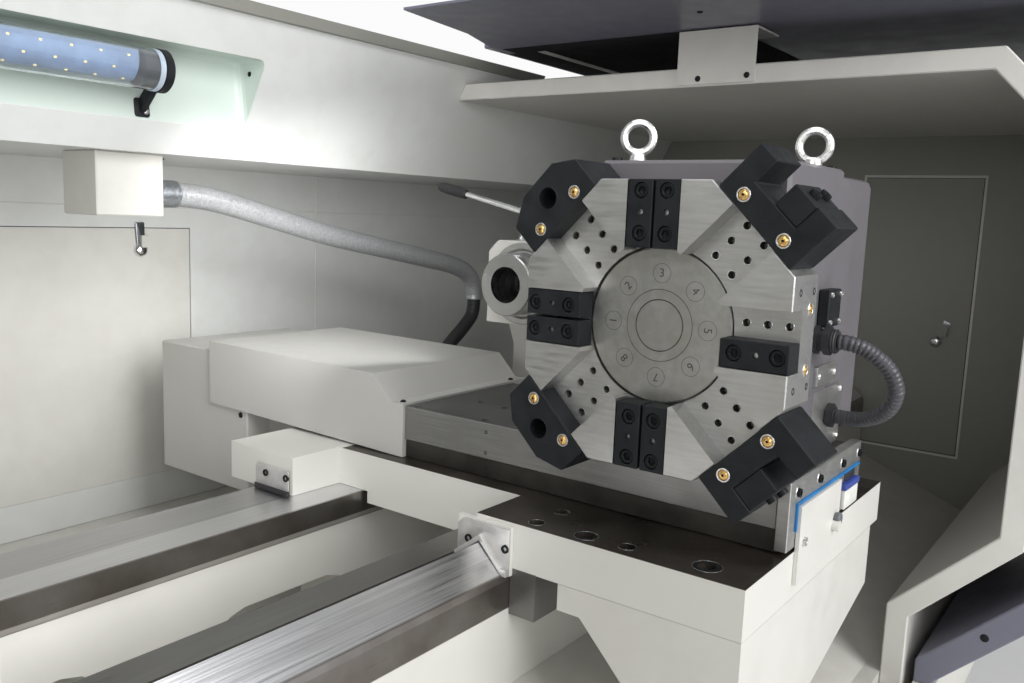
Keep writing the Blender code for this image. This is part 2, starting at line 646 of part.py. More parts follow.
def make_carriage():
    plan = [
        (SADDLE_X[0], SADDLE_FRONT), (SADDLE_X[1], SADDLE_FRONT),
        (SADDLE_X[1], WING_FRONT + WING_STEP), (BRIDGE_X[1], WING_FRONT + WING_STEP),
        (BRIDGE_X[1], WING_REAR - WING_STEP), (SADDLE_X[1], WING_REAR - WING_STEP),
        (SADDLE_X[1], SADDLE_REAR), (SADDLE_X[0], SADDLE_REAR), (SADDLE_X[0], WING_REAR),
        (BRIDGE_X[0], WING_REAR), (BRIDGE_X[0], WING_FRONT), (SADDLE_X[0], WING_FRONT),
    ]
    saddle = prism("saddle", plan, "Z", WAY_TOP + SLIDING, SADDLE_TOP, "dark_iron")
    rib = box("bridge_rib", (BRIDGE_X[0] + 0.0001, 0.292, -0.326), (BRIDGE_X[1] - 0.0001, 0.490, -0.300))
    combine(saddle, rib, "UNION")
    y, z = V_APEX
    lift = 0.00045
    notch = [(0.12165, -0.345), (y, z + lift), (0.2725, -0.345)]
    combine(saddle, prism("saddle_notch", notch, "X", -0.05, 0.50))
    holes = [((x, y, SADDLE_TOP - 0.014), (x, y, SADDLE_TOP + 0.01), 0.010)
             for x, y in ((-0.008, 0.127), (-0.006, 0.058), (-0.004, 0.005), (0.004, -0.089),
                          (0.045, 0.126), (0.450, 0.100), (0.450, -0.080))]
    combine(saddle, rods("saddle_holes", holes, segments=16))
    keeper = box("front_keeper", (SADDLE_X[0] + 0.0001, 0.112, -0.366),
                 (SADDLE_X[1] - 0.035, BED_FRONT - RUNNING, WAY_TOP + 0.002))
    combine(saddle, keeper, "UNION")

    apron = prism("apron", [
        (0.080, WAY_TOP - 0.0001), (0.080, -0.340), (0.049, -0.340), (-0.009, -0.399),
        (-0.067, -0.457), (SADDLE_FRONT, -0.457), (SADDLE_FRONT, WAY_TOP - 0.0001),
    ], "X", SADDLE_X[0], 0.445, "warm_white")
    combine(apron, prism("apron_corner", [
        (0.215, -0.457), (0.445, -0.394), (0.460, -0.380), (0.460, -0.480), (0.215, -0.480),
    ], "Y", -0.20, 0.20))

    plate = SADDLE_X[0] - SEAT
    prism("front_wiper", [
        (0.146, -0.255), (0.146, -0.316), (0.1515, -0.316), (y, z + 0.0008), (0.2272, -0.3100),
        (0.2272, -0.255),
    ], "X", plate - 0.006, plate, "warm_white")
    box("rear_wiper", (plate - 0.006, 0.567, WAY_TOP + SLIDING), (plate, 0.6145, -0.273),
        "warm_white")
    inside = HOOD_SHEET + MOTOR_GAP
    motor = box("motor_cover", (HOOD_X[0] + inside, MOTOR_COVER_Y[0], -0.390),
                (HOOD_X[1] - inside, MOTOR_COVER_Y[1], -0.1455), "warm_white")
    soften(motor, 0.002)
    mount = box("motor_mount", (HOOD_X[0] + 0.054, SADDLE_REAR + SEAT, -0.300),
                (HOOD_X[1] - 0.060, MOTOR_COVER_Y[0] + 0.004, -0.160))
    combine(motor, mount, "UNION")
    cover = box("front_cover_plate", (0.114, -0.150, -0.290), (0.262, SADDLE_FRONT - SEAT, -0.197),
                "warm_white")
    combine(cover, rods("cover_knob", [((0.240, -0.158, -0.251), (0.240, -0.148, -0.251), 0.007)]),
            "UNION")


def make_slide():
    slide = box("cross_slide", (SLIDE_X[0], SLIDE_FRONT, SADDLE_TOP + SLIDING),
                (SLIDE_X[1], SLIDE_REAR, SLIDE_TOP), "satin_steel")
    combine(slide, box("gib_step", (SLIDE_X[0] - 0.010, SLIDE_FRONT - 0.010, SADDLE_TOP - 0.010),
                       (SLIDE_X[0] + 0.003, SLIDE_REAR + 0.010, GIB_TOP)))
    soften(slide, 0.001)
    holes = [((x, y, SLIDE_TOP - 0.012), (x, y, SLIDE_TOP + 0.01), 0.005)
             for x, y in ((0.098, 0.421), (0.194, 0.378), (0.104, 0.298), (0.187, 0.326))]
    combine(slide, rods("slide_holes", holes, segments=12))
    plate = box("slide_end_plate", (0.088, -0.1446, -0.246), (SLIDE_X[1], SLIDE_FRONT - SEAT, -0.165),
                "satin_steel")
    soften(plate, 0.001)
    hood = prism("slide_rear_cover", [
        (SLIDE_REAR + SEAT, SADDLE_TOP + 0.0008), (SLIDE_REAR + SEAT, -0.168), (0.465, -0.168),
        (0.503, -0.130), (HOOD_REAR, -0.128), (HOOD_REAR, -0.240),
    ], "X", *HOOD_X, "warm_white")
    combine(hood, prism("hood_inside", [
        (SLIDE_REAR + SEAT + HOOD_SHEET, -0.300), (SLIDE_REAR + SEAT + HOOD_SHEET, -0.171),
        (0.4638, -0.171), (0.5018, -0.133), (HOOD_REAR + 0.020, -0.131), (HOOD_REAR + 0.020, -0.300),
    ], "X", HOOD_X[0] + HOOD_SHEET, HOOD_X[1] - HOOD_SHEET))

    housing = box("turret_housing", (HOUSING_FACE, -0.118, SLIDE_TOP + SEAT), (0.270, 0.118, 0.186),
                  "mauve_grey")
    soften(housing, 0.004)
    back = box("gear_housing", (0.262, -0.114, -0.150), (0.415, 0.105, 0.180))
    soften(back, 0.012, 2)
    combine(housing, back, "UNION")
    make_eyebolt("front_eyebolt", (0.108, 0.081, 0.186 + SEAT), 0.0275, 0.45)
    make_eyebolt("rear_eyebolt", (0.198, -0.102, 0.186 + SEAT), 0.0225, 0.15)

    rods("cable_gland", [((0.207, -0.118 - SEAT, -0.018), (0.207, -0.146, -0.018), 0.0135)],
         "black_rubber", segments=12, smooth=False)
    tube("sensor_conduit", smooth_route([
        (0.207, -0.1464, -0.018), (0.207, -0.157, -0.018), (0.214, -0.178, -0.025),
        (0.226, -0.201, -0.046), (0.238, -0.209, -0.074), (0.250, -0.197, -0.101),
        (0.264, -0.170, -0.117), (0.277, -0.143, -0.122), (0.2825, -0.127, -0.1225),
        (0.2825, -0.1145, -0.1225),
    ], 28), 0.0095, "zinc_sheet")
    block = box("sensor_block", (0.208, -0.132, -0.003), (0.252, -0.118 - SEAT, 0.042), "black_oxide")
    soften(block, 0.0015)


def make_eyebolt(name, place, up, turn):
    mesh = bpy.data.meshes.new(name)
    work = bmesh.new()
    bmesh.ops.create_cone(work, cap_ends=True, segments=20, radius1=0.0105, radius2=0.009,
                          depth=0.007, matrix=Matrix.Translation((0, 0, 0.0035)))
    work.to_mesh(mesh)
    work.free()
    bolt = link(name, mesh, "bright_zinc", place)
    ring = bpy.data.meshes.new(name + "_ring")
    work = bmesh.new()
    major, minor = 0.0175, 0.005
    rows = []
    for i in range(28):
        a = 2 * math.pi * i / 28
        row = []
        for j in range(10):
            b = 2 * math.pi * j / 10
            r = major + minor * math.cos(b)
            row.append(work.verts.new((minor * math.sin(b), r * math.cos(a), up + r * math.sin(a))))
        rows.append(row)
    for i in range(28):
        for j in range(10):
            work.faces.new((rows[i][j], rows[(i + 1) % 28][j],
                            rows[(i + 1) % 28][(j + 1) % 10], rows[i][(j + 1) % 10]))
    bmesh.ops.recalc_face_normals(work, faces=work.faces)
    work.to_mesh(ring)
    work.free()
    hoop = link(name + "_ring", ring, None, place)
    hoop.rotation_euler = (0, 0, turn)
    combine(bolt, hoop, "UNION")


def make_turret():
    corner = DISC_FLATS / 2 * math.tan(math.pi / 8)
    half = DISC_FLATS / 2
    octagon = [(half, -corner), (half, corner), (corner, half), (-corner, half),
               (-half, corner), (-half, -corner), (-corner, -half), (corner, -half)]
    disc = prism("turret_disc", octagon, "X", 0.0, DISC_THICK, "ground_steel")
    soften(disc, 0.0012)
    combine(disc, rods("disc_neck", [((DISC_THICK - 0.002, 0, 0),
                                      (HOUSING_FACE - RUNNING, 0, 0), DISC_NECK_R)], segments=48),
            "UNION")
    star = []
    reach, tip = 0.200, HUB_RECESS_R + 0.0002
    halves = [SLOT_WIDTH / 2 + 0.00002 * n for n in range(9)]
    halves[8] = halves[0]
    for n in range(8):
        a = n * math.pi / 4
        w = halves[n]
        for r, bend in ((math.hypot(reach, w), -math.atan(w / reach)),
                        (math.hypot(reach, w), math.atan(w / reach)),
                        (tip, math.asin(w / tip)),
                        (tip, math.pi / 4 - math.asin(halves[n + 1] / tip))):
            star.append((r * math.cos(a + bend), r * math.sin(a + bend)))
    combine(disc, prism("slots", star, "X", -0.010, SLOT_DEPTH))
    combine(disc, rods("hub_recess", [((SLOT_DEPTH - 0.015, 0, 0), (HUB_RECESS_DEPTH, 0, 0),
                                       HUB_RECESS_R)], segments=48))
    taps = []
    for angle in (REAR_UP, FRONT_UP, FRONT_DOWN, REAR_DOWN):
        for r in TAP_RADII:
            for t in (-TAP_OFFSET, TAP_OFFSET):
                y, z = at(angle, r, t)
                taps.append(((SLOT_DEPTH - 0.005, y, z), (SLOT_DEPTH + TAP_DEPTH, y, z), TAP_R))
    for r in TAP_RADII:
        y, z = at(FRONT, r, TAP_OFFSET)
        taps.append(((SLOT_DEPTH - 0.005, y, z), (SLOT_DEPTH + TAP_DEPTH, y, z), TAP_R))
    combine(disc, rods("tapped_holes", taps, segments=10))

    turned("hub_cap", [
        (0.0, HUB_RECESS_DEPTH - SEAT), (HUB_R, HUB_RECESS_DEPTH - SEAT), (HUB_R, HUB_FACE + 0.001),
        (HUB_R - 0.001, HUB_FACE), (0.0, HUB_FACE),
    ], "satin_steel", (0, 0, 0), steps=48)

    pairs = ((UP, 1, "top_block_rear"), (UP, -1, "top_block_front"),
             (DOWN, 1, "bottom_block_rear"), (DOWN, -1, "bottom_block_front"),
             (REAR, 1, "rear_block_upper"), (REAR, -1, "rear_block_lower"),
             (FRONT, -1, "front_block"))
    for angle, side, name in pairs:
        ring = [at(angle, r, side * t) for r, t in (
            (BLOCK_IN, BLOCK_NEAR), (BLOCK_OUT, BLOCK_NEAR), (BLOCK_OUT, BLOCK_FAR),
            (BLOCK_IN, BLOCK_FAR))]
        block = prism(name, ring, "X", 0.0005, SLOT_DEPTH - SEAT, "black_oxide")
        soften(block, 0.0008)
        sinks = []
        for r, radius, deep in ((TAP_RADII[0], COUNTERBORE_R, COUNTERBORE_DEPTH),
                                (TAP_RADII[1], 0.0035, 0.012),
                                (TAP_RADII[2], COUNTERBORE_R, COUNTERBORE_DEPTH)):
            y, z = at(angle, r, side * TAP_OFFSET * 1.12)
            sinks.append(((-0.005, y, z), (deep, y, z), radius))
        combine(block, rods(name + "_sinks", sinks, segments=16))

    for angle, name, low, high in ((FRONT_UP, "upper_turning_holder", -0.0297, 0.0026),
                                   (FRONT_DOWN, "lower_turning_holder", -0.0065, 0.0317)):
        shape = [(-HOLDER_HALF, HOLDER_SEAT), (HOLDER_HALF, HOLDER_SEAT),
                 (HOLDER_HALF, HOLDER_TOP), (0.032, HOLDER_TOP), (0.032, POCKET_FLOOR),
                 (-0.030, POCKET_FLOOR), (-0.030, HOLDER_TOP), (-HOLDER_HALF, HOLDER_TOP)]
        holder = prism(name, on_flat(angle, shape), "X", 0.0, DISC_THICK, "black_oxide")
        soften(holder, 0.0012)
        wedge = [(low, POCKET_FLOOR + SEAT), (high, POCKET_FLOOR + SEAT), (high, 0.219), (low, 0.219)]
        piece = prism(name.replace("holder", "wedge"), on_flat(angle, wedge), "X", 0.001,
                      DISC_THICK - 0.001, "black_oxide")
        soften(piece, 0.001)
    for angle, name in ((REAR_UP, "upper_boring_holder"), (REAR_DOWN, "lower_boring_holder")):
        shape = [(-HOLDER_HALF, HOLDER_SEAT), (HOLDER_HALF, HOLDER_SEAT), (HOLDER_HALF, 0.200),
                 (0.030, 0.2195), (-0.024, 0.2195), (-HOLDER_HALF, 0.200)]
        if angle == REAR_UP:
            shape = [(-t, r) for t, r in shape]
        holder = prism(name, on_flat(angle, shape), "X", 0.0, BORING_LENGTH, "black_oxide")
        soften(holder, 0.0012)
        y, z = at(angle, BORE_CENTRE, 0)
        combine(holder, rods(name + "_bore", [((-0.01, y, z), (0.1, y, z), BORE_R)], segments=24))


def make_tailstock():
    low = WAY_TOP + SLIDING
    prism("tailstock_base", [
        (0.238, low), (0.284, low), (0.300, -0.290), (0.482, -0.290), (0.498, low), (0.5615, low),
        (0.5615, SADDLE_TOP), (0.238, SADDLE_TOP),
    ], "X", *TAIL_X, "warm_white")
    body = prism("tailstock_body", [
        (0.262, SADDLE_TOP + SEAT), (0.548, SADDLE_TOP + SEAT), (0.548, -0.215),
        (AXIS_Y + BARREL_HALF, -0.120), (AXIS_Y + BARREL_HALF, BARREL_HIGH - 0.020),
        (AXIS_Y + BARREL_HALF - 0.020, BARREL_HIGH), (AXIS_Y - BARREL_HALF + 0.020, BARREL_HIGH),
        (AXIS_Y - BARREL_HALF, BARREL_HIGH - 0.020), (AXIS_Y - BARREL_HALF, -0.120),
        (0.262, -0.215),
    ], "X", 0.375, TAIL_X[1] - 0.010, "warm_white")
    soften(body, 0.003)
    combine(body, prism("tail_overhang", [
        (0.300, -0.400), (0.515, -0.400), (0.515, -0.240), (0.440, -0.072), (0.300, -0.072),
    ], "Y", 0.200, 0.700))
    combine(body, rods("quill_bore", [((0.30, AXIS_Y, 0), (QUILL_TAIL + QUILL_BACK, AXIS_Y, 0),
                                       QUILL_R + SLIDING)], segments=48))
    turned("quill", [
        (0.0, QUILL_TAIL), (QUILL_R, QUILL_TAIL), (QUILL_R, QUILL_NOSE + 0.002),
        (QUILL_R - 0.002, QUILL_NOSE), (QUILL_BORE, QUILL_NOSE), (0.022, QUILL_NOSE + TAPER_DEEP),
        (0.0, QUILL_NOSE + TAPER_DEEP),
    ], "satin_steel", (0, AXIS_Y, 0), steps=48)
    cap = TAIL_X[1] - 0.010 + SEAT
    wheel = turned("handwheel", [
        (0.0, cap + 0.052), (0.080, cap + 0.052), (0.090, cap + 0.046), (0.090, cap + 0.030),
        (0.080, cap + 0.024), (0.072, cap + 0.030), (0.072, cap + 0.040), (0.040, cap + 0.030),
        (0.040, cap), (0.0, cap),
    ], "bright_zinc", (0, AXIS_Y, 0), steps=40)
    grip = rods("wheel_grip", [((cap + 0.045, AXIS_Y + 0.072, 0), (cap + 0.105, AXIS_Y + 0.072, 0),
                                0.010)], segments=12)
    combine(wheel, grip, "UNION")

    pivot = (0.425, 0.470, BARREL_HIGH)
    lever = rods("clamp_lever", [((0.425, 0.470, BARREL_HIGH + SEAT), (0.425, 0.470, 0.128), 0.013)],
                 "chrome", pivot, segments=16)
    arm = rods("lever_arm", [((0.425, 0.470, 0.120), (0.425, 0.610, 0.150), 0.006)], segments=12)
    combine(lever, arm, "UNION")
    knob = rods("lever_knob", [((0.425, 0.600, 0.1478), (0.425, 0.675, 0.164), 0.009)], segments=12)
    combine(lever, knob, "UNION")


clear_scene()
PARTS = make_collection("cnc_turning_lathe")
CUTTERS = make_collection("cutters")
make_base()
make_bed()
make_headstock()
make_spindle()
make_guards()
make_access_doors()
make_doors()
make_fittings()
make_carriage()
make_slide()
make_turret()
make_tailstock()
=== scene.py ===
"""Looks of a turning lathe with an eight-station tool turret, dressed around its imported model.

Every place is written from the centre of the turret disc's front face, in metres: X along the
bed from the headstock to the tailstock, Y from the operator to the rear, Z up. A Shape adds the
place of that point in the finished machine when it writes its mesh.
"""

import logging
import math
from dataclasses import dataclass, field
from enum import Enum
from typing import Optional, Sequence

import bmesh
import bpy
import numpy as np
from mathutils import Matrix, Vector


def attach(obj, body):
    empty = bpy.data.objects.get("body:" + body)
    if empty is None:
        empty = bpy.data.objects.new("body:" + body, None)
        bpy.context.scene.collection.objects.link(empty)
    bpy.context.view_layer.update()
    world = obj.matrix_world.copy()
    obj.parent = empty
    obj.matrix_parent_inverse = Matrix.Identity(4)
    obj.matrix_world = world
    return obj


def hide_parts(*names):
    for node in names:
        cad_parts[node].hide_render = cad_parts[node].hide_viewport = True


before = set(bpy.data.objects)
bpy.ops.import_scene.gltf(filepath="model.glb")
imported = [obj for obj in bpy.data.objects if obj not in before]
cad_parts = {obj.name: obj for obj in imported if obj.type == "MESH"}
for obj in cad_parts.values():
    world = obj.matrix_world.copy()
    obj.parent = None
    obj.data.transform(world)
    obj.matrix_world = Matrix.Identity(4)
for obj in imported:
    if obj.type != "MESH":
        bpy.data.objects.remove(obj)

LOG = logging.getLogger("turning_lathe")
TURRET = np.array((0.010, -0.4195, 1.150))
MERGE_DISTANCE = 2e-6
SHORTEST_EDGE = 1e-7
Array = np.ndarray
Vector3 = tuple[float, float, float]
Route = tuple[Vector3, ...]


class Body(str, Enum):
    """The moving bodies that pieces ride on."""

    MACHINE = "machine"
    RIGHT_DOOR = "right_door"
    LEFT_DOOR = "left_door"
    REAR_ACCESS = "rear_access"
    RIGHT_ACCESS = "right_access"
    SPINDLE = "spindle"
    CARRIAGE = "carriage"
    SLIDE = "slide"
    TURRET = "turret"
    TAILSTOCK = "tailstock"
    QUILL = "quill"
    CLAMP_LEVER = "clamp_lever"


# Surfaces worked out on grids


def turned(rows: Sequence[Sequence[float]], segments: int = 40) -> Array:
    """Surface of revolution about +Z, with an optional six-sided cross section.

    Row k is a ring of radius r[k] at height z[k]. Where its third value is 1 the ring is a
    hexagon whose flats lie at r[k]: the radius is r / cos(angle from the nearest flat).

    Args:
        rows: Radius, height and share of the hexagon for each ring.
        segments: Points round each ring, a multiple of six where a hexagon is used.

    Returns:
        Points as an array of rings by segments by 3.
    """
    data = np.array([tuple(row) + (0.0,) * (3 - len(row)) for row in rows], float)
    turn = np.linspace(0.0, 2 * np.pi, segments, endpoint=False)
    from_flat = (turn + np.pi / 6) % (np.pi / 3) - np.pi / 6
    radius = data[:, :1] * (1 + data[:, 2:] * (1 / np.cos(from_flat)[None, :] - 1))
    height = np.broadcast_to(data[:, 1:2], radius.shape)
    return np.stack((radius * np.cos(turn), radius * np.sin(turn), height), axis=2)


def swept(path: Array, radius: Array, sides: int = 16) -> Array:
    """Round tube: at each path point, a ring of that radius in the plane across the path.

    The ring's first axis is the part of one fixed direction that lies across the tangent.

    Args:
        path: Points of the centre line, n by 3.
        radius: One radius for each point.
        sides: Points round each ring.

    Returns:
        Points as an array of rings by sides by 3.
    """
    ahead = np.gradient(path, axis=0)
    ahead /= np.linalg.norm(ahead, axis=1, keepdims=True)
    spread = path.max(0) - path.min(0)
    guide = np.eye(3)[int(np.argmin(spread))]
    first = guide - ahead * (ahead @ guide)[:, None]
    first /= np.linalg.norm(first, axis=1, keepdims=True)
    second = np.cross(ahead, first)
    turn = np.linspace(0.0, 2 * np.pi, sides, endpoint=False)
    ring = (first[:, None, :] * np.cos(turn)[None, :, None]
            + second[:, None, :] * np.sin(turn)[None, :, None])
    return path[:, None, :] + ring * np.asarray(radius)[:, None, None]


def rounded(outline: Sequence[Sequence[float]], radius: float, steps: int = 4) -> Array:
    """Outline with each corner replaced by a short curve.

    The curve at a corner is (1-t)^2 a + 2t(1-t) corner + t^2 b, where a and b lie the radius
    away along the two sides.

    Args:
        outline: Corners in order, n by 2.
        radius: Distance from the corner at which the curve starts, cut to half a side.
        steps: Spans of each curve.

    Returns:
        Points of the new outline.
    """
    corner = np.asarray(outline, float)
    before = np.roll(corner, 1, axis=0) - corner
    after = np.roll(corner, -1, axis=0) - corner
    near = np.linalg.norm(before, axis=1, keepdims=True)
    far = np.linalg.norm(after, axis=1, keepdims=True)
    a = corner + before / near * np.minimum(radius, near * 0.49)
    b = corner + after / far * np.minimum(radius, far * 0.49)
    t = np.linspace(0.0, 1.0, steps + 1)[None, :, None]
    curve = (1 - t) ** 2 * a[:, None] + 2 * t * (1 - t) * corner[:, None] + t ** 2 * b[:, None]
    return curve.reshape(-1, 2)


def slab(outline: Array, low: float, high: float, edge: float = 0.001, steps: int = 2) -> Array:
    """Flat outline with thickness and rounded rims, carried along a quarter-round profile.

    Each ring is the outline drawn inwards along its corner normals by edge * (1 - sin a), at a
    height that runs low + edge * (1 - cos a) up to high, for a from 0 to a quarter turn.

    Args:
        outline: Points round the shape, anticlockwise, n by 2.
        low: Height of the lower face.
        high: Height of the upper face.
        edge: Radius of the rims.
        steps: Spans of each rounded rim.

    Returns:
        Points as an array of rings by n by 3.
    """
    ring = np.asarray(outline, float)
    side = np.roll(ring, -1, axis=0) - ring
    normal = np.stack((side[:, 1], -side[:, 0]), axis=1)
    normal /= np.maximum(np.linalg.norm(normal, axis=1, keepdims=True), 1e-12)
    corner = normal + np.roll(normal, 1, axis=0)
    corner /= np.maximum((corner * corner).sum(1, keepdims=True) / 2, 0.3)
    a = np.linspace(0.0, np.pi / 2, steps + 1)
    draw = np.concatenate((edge * (1 - np.sin(a)), edge * (1 - np.sin(a[::-1]))))
    height = np.concatenate((low + edge * (1 - np.cos(a)), high - edge * (1 - np.cos(a[::-1]))))
    flat = ring[None] - corner[None] * draw[:, None, None]
    tall = np.broadcast_to(height[:, None, None], flat.shape[:2] + (1,))
    return np.concatenate((flat, tall), axis=2)


def rectangle(low: Sequence[float], high: Sequence[float]) -> Array:
    """Four corners, anticlockwise, between two corners."""
    return np.array(((low[0], low[1]), (high[0], low[1]), (high[0], high[1]), (low[0], high[1])))


def smooth(points: Sequence[Sequence[float]], count: int) -> Array:
    """Catmull-Rom curve through a route's inner points, with its straight end stubs kept.

    Args:
        points: The route's points, whose first and last spans stay straight.
        count: Spans read from the curve.

    Returns:
        Points of the route, count + 3 by 3.
    """
    p = np.asarray(points, float)
    u = np.linspace(0.0, len(p) - 3, count + 1)
    i = np.minimum(u.astype(int), len(p) - 4)
    t = (u - i)[:, None]
    a, b, c, d = p[i], p[i + 1], p[i + 2], p[i + 3]
    curve = 0.5 * (2 * b + (c - a) * t + (2 * a - 5 * b + 4 * c - d) * t ** 2
                   + (3 * b - a - 3 * c + d) * t ** 3)
    return np.concatenate((p[:1], curve, p[-1:]))


def spaced(path: Array, count: int) -> Array:
    """Points an equal length apart along a path."""
    gap = np.linalg.norm(np.diff(path, axis=0), axis=1)
    reach = np.concatenate(([0.0], np.cumsum(gap)))
    want = np.linspace(0.0, reach[-1], count)
    return np.stack([np.interp(want, reach, path[:, k]) for k in range(3)], axis=1)


@dataclass(frozen=True)
class Seat:
    """Where a shape stands: a point, the way its own +Z looks, and the way its +X looks."""

    point: Vector3
    out: Vector3 = (0.0, 0.0, 1.0)
    along: Vector3 = (1.0, 0.0, 0.0)

    def place(self, grid: Array) -> Array:
        """Points of a grid moved and turned onto this seat."""
        z = np.asarray(self.out, float)
        z = z / np.linalg.norm(z)
        x = np.asarray(self.along, float)
        x = x - z * (x @ z)
        if np.linalg.norm(x) < 1e-6:
            x = np.cross(z, np.roll(z, 1) + 0.1)
        x = x / np.linalg.norm(x)
        turn = np.stack((x, np.cross(z, x), z), axis=1)
        return grid @ turn.T + np.asarray(self.point, float)


LEFTWARDS, RIGHTWARDS = (-1.0, 0.0, 0.0), (1.0, 0.0, 0.0)
FRONTWARDS, REARWARDS = (0.0, -1.0, 0.0), (0.0, 1.0, 0.0)
UPWARDS, DOWNWARDS = (0.0, 0.0, 1.0), (0.0, 0.0, -1.0)


def placement(x: Sequence[float], y: Sequence[float], z: Sequence[float],
              point: Sequence[float]) -> Matrix:
    """Matrix of an object from its own axes and its place."""
    place = np.eye(4)
    place[:3, 0], place[:3, 1], place[:3, 2], place[:3, 3] = x, y, z, point
    return Matrix(place.tolist())


@dataclass
class Shape:
    """Grids of points that become one closed mesh."""

    points: list[Array] = field(default_factory=list)
    faces: list[list[int]] = field(default_factory=list)
    count: int = 0

    def add(self, grid: Array, seat: Optional[Seat] = None, loop: bool = False) -> "Shape":
        """Adds one grid, whose rings are closed round and whose ends get flat caps.

        Args:
            grid: Rings by points by 3.
            seat: Where it goes; left as it is if there is none.
            loop: Whether the last ring joins the first, as on a torus, without caps.

        Returns:
            This shape, so that calls can follow each other.
        """
        grid = grid if seat is None else seat.place(grid)
        n, m = grid.shape[:2]
        index = np.arange(n * m).reshape(n, m) + self.count
        lower = index if loop else index[:-1]
        upper = np.roll(index, -1, axis=0) if loop else index[1:]
        quads = np.stack((lower, np.roll(lower, -1, axis=1), np.roll(upper, -1, axis=1), upper),
                         axis=2)
        self.faces += quads.reshape(-1, 4).tolist()
        if not loop:
            self.faces += [index[0][::-1].tolist(), index[-1].tolist()]
        self.points.append(grid.reshape(-1, 3))
        self.count += n * m
        return self

    def each(self, grid: Array, seats: Sequence[Seat], loop: bool = False) -> "Shape":
        """Adds the same grid at every seat of a list."""
        for seat in seats:
            self.add(grid, seat, loop)
        return self

    def write(self, name: str, finish: "Finish", body: Body, angle: float = 32.0,
              slot: Optional[str] = None) -> bpy.types.Object:
        """Writes the mesh, with doubles merged and faces outwards, and lets it ride on a body.

        Args:
            name: Name of the piece.
            finish: Its surface.
            body: The body that it rides on.
            angle: Edges sharper than this many degrees stay sharp.
            slot: The record's material slot that its finish belongs to; not used.

        Returns:
            The new object.
        """
        mesh = bpy.data.meshes.new(name)
        mesh.from_pydata((np.concatenate(self.points) + TURRET).tolist(), [], self.faces)
        return seat_mesh(mesh, name, finish, body, angle)


def seat_mesh(mesh: bpy.types.Mesh, name: str, finish: "Finish", body: Body,
              angle: float = 32.0) -> bpy.types.Object:
    """Cleans a mesh, links it as a piece and lets it ride on a body.

    Args:
        mesh: The mesh, in the machine's own coordinates.
        name: Name of the piece.
        finish: Its surface.
        body: The body that it rides on.
        angle: Edges sharper than this many degrees stay sharp.

    Returns:
        The new object.
    """
    work = bmesh.new()
    work.from_mesh(mesh)
    bmesh.ops.remove_doubles(work, verts=work.verts, dist=MERGE_DISTANCE)
    bmesh.ops.dissolve_degenerate(work, edges=work.edges, dist=SHORTEST_EDGE)
    bmesh.ops.recalc_face_normals(work, faces=work.faces)
    work.to_mesh(mesh)
    work.free()
    mesh.shade_smooth()
    mesh.set_sharp_from_angle(angle=math.radians(angle))
    mesh.materials.append(finish.material())
    piece = bpy.data.objects.new(name, mesh)
    bpy.context.scene.collection.objects.link(piece)
    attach(piece, body.value)
    LOG.info("%s on %s, %d faces", name, body.value, len(mesh.polygons))
    return piece


# Finishes

Colour = tuple[float, float, float]
Socket = bpy.types.NodeSocket


def shade(colour: Colour, *factors: float) -> Colour:
    """Colour times one factor, or times one factor for each channel."""
    each = factors * 3 if len(factors) == 1 else factors
    return tuple(channel * factor for channel, factor in zip(colour, each))


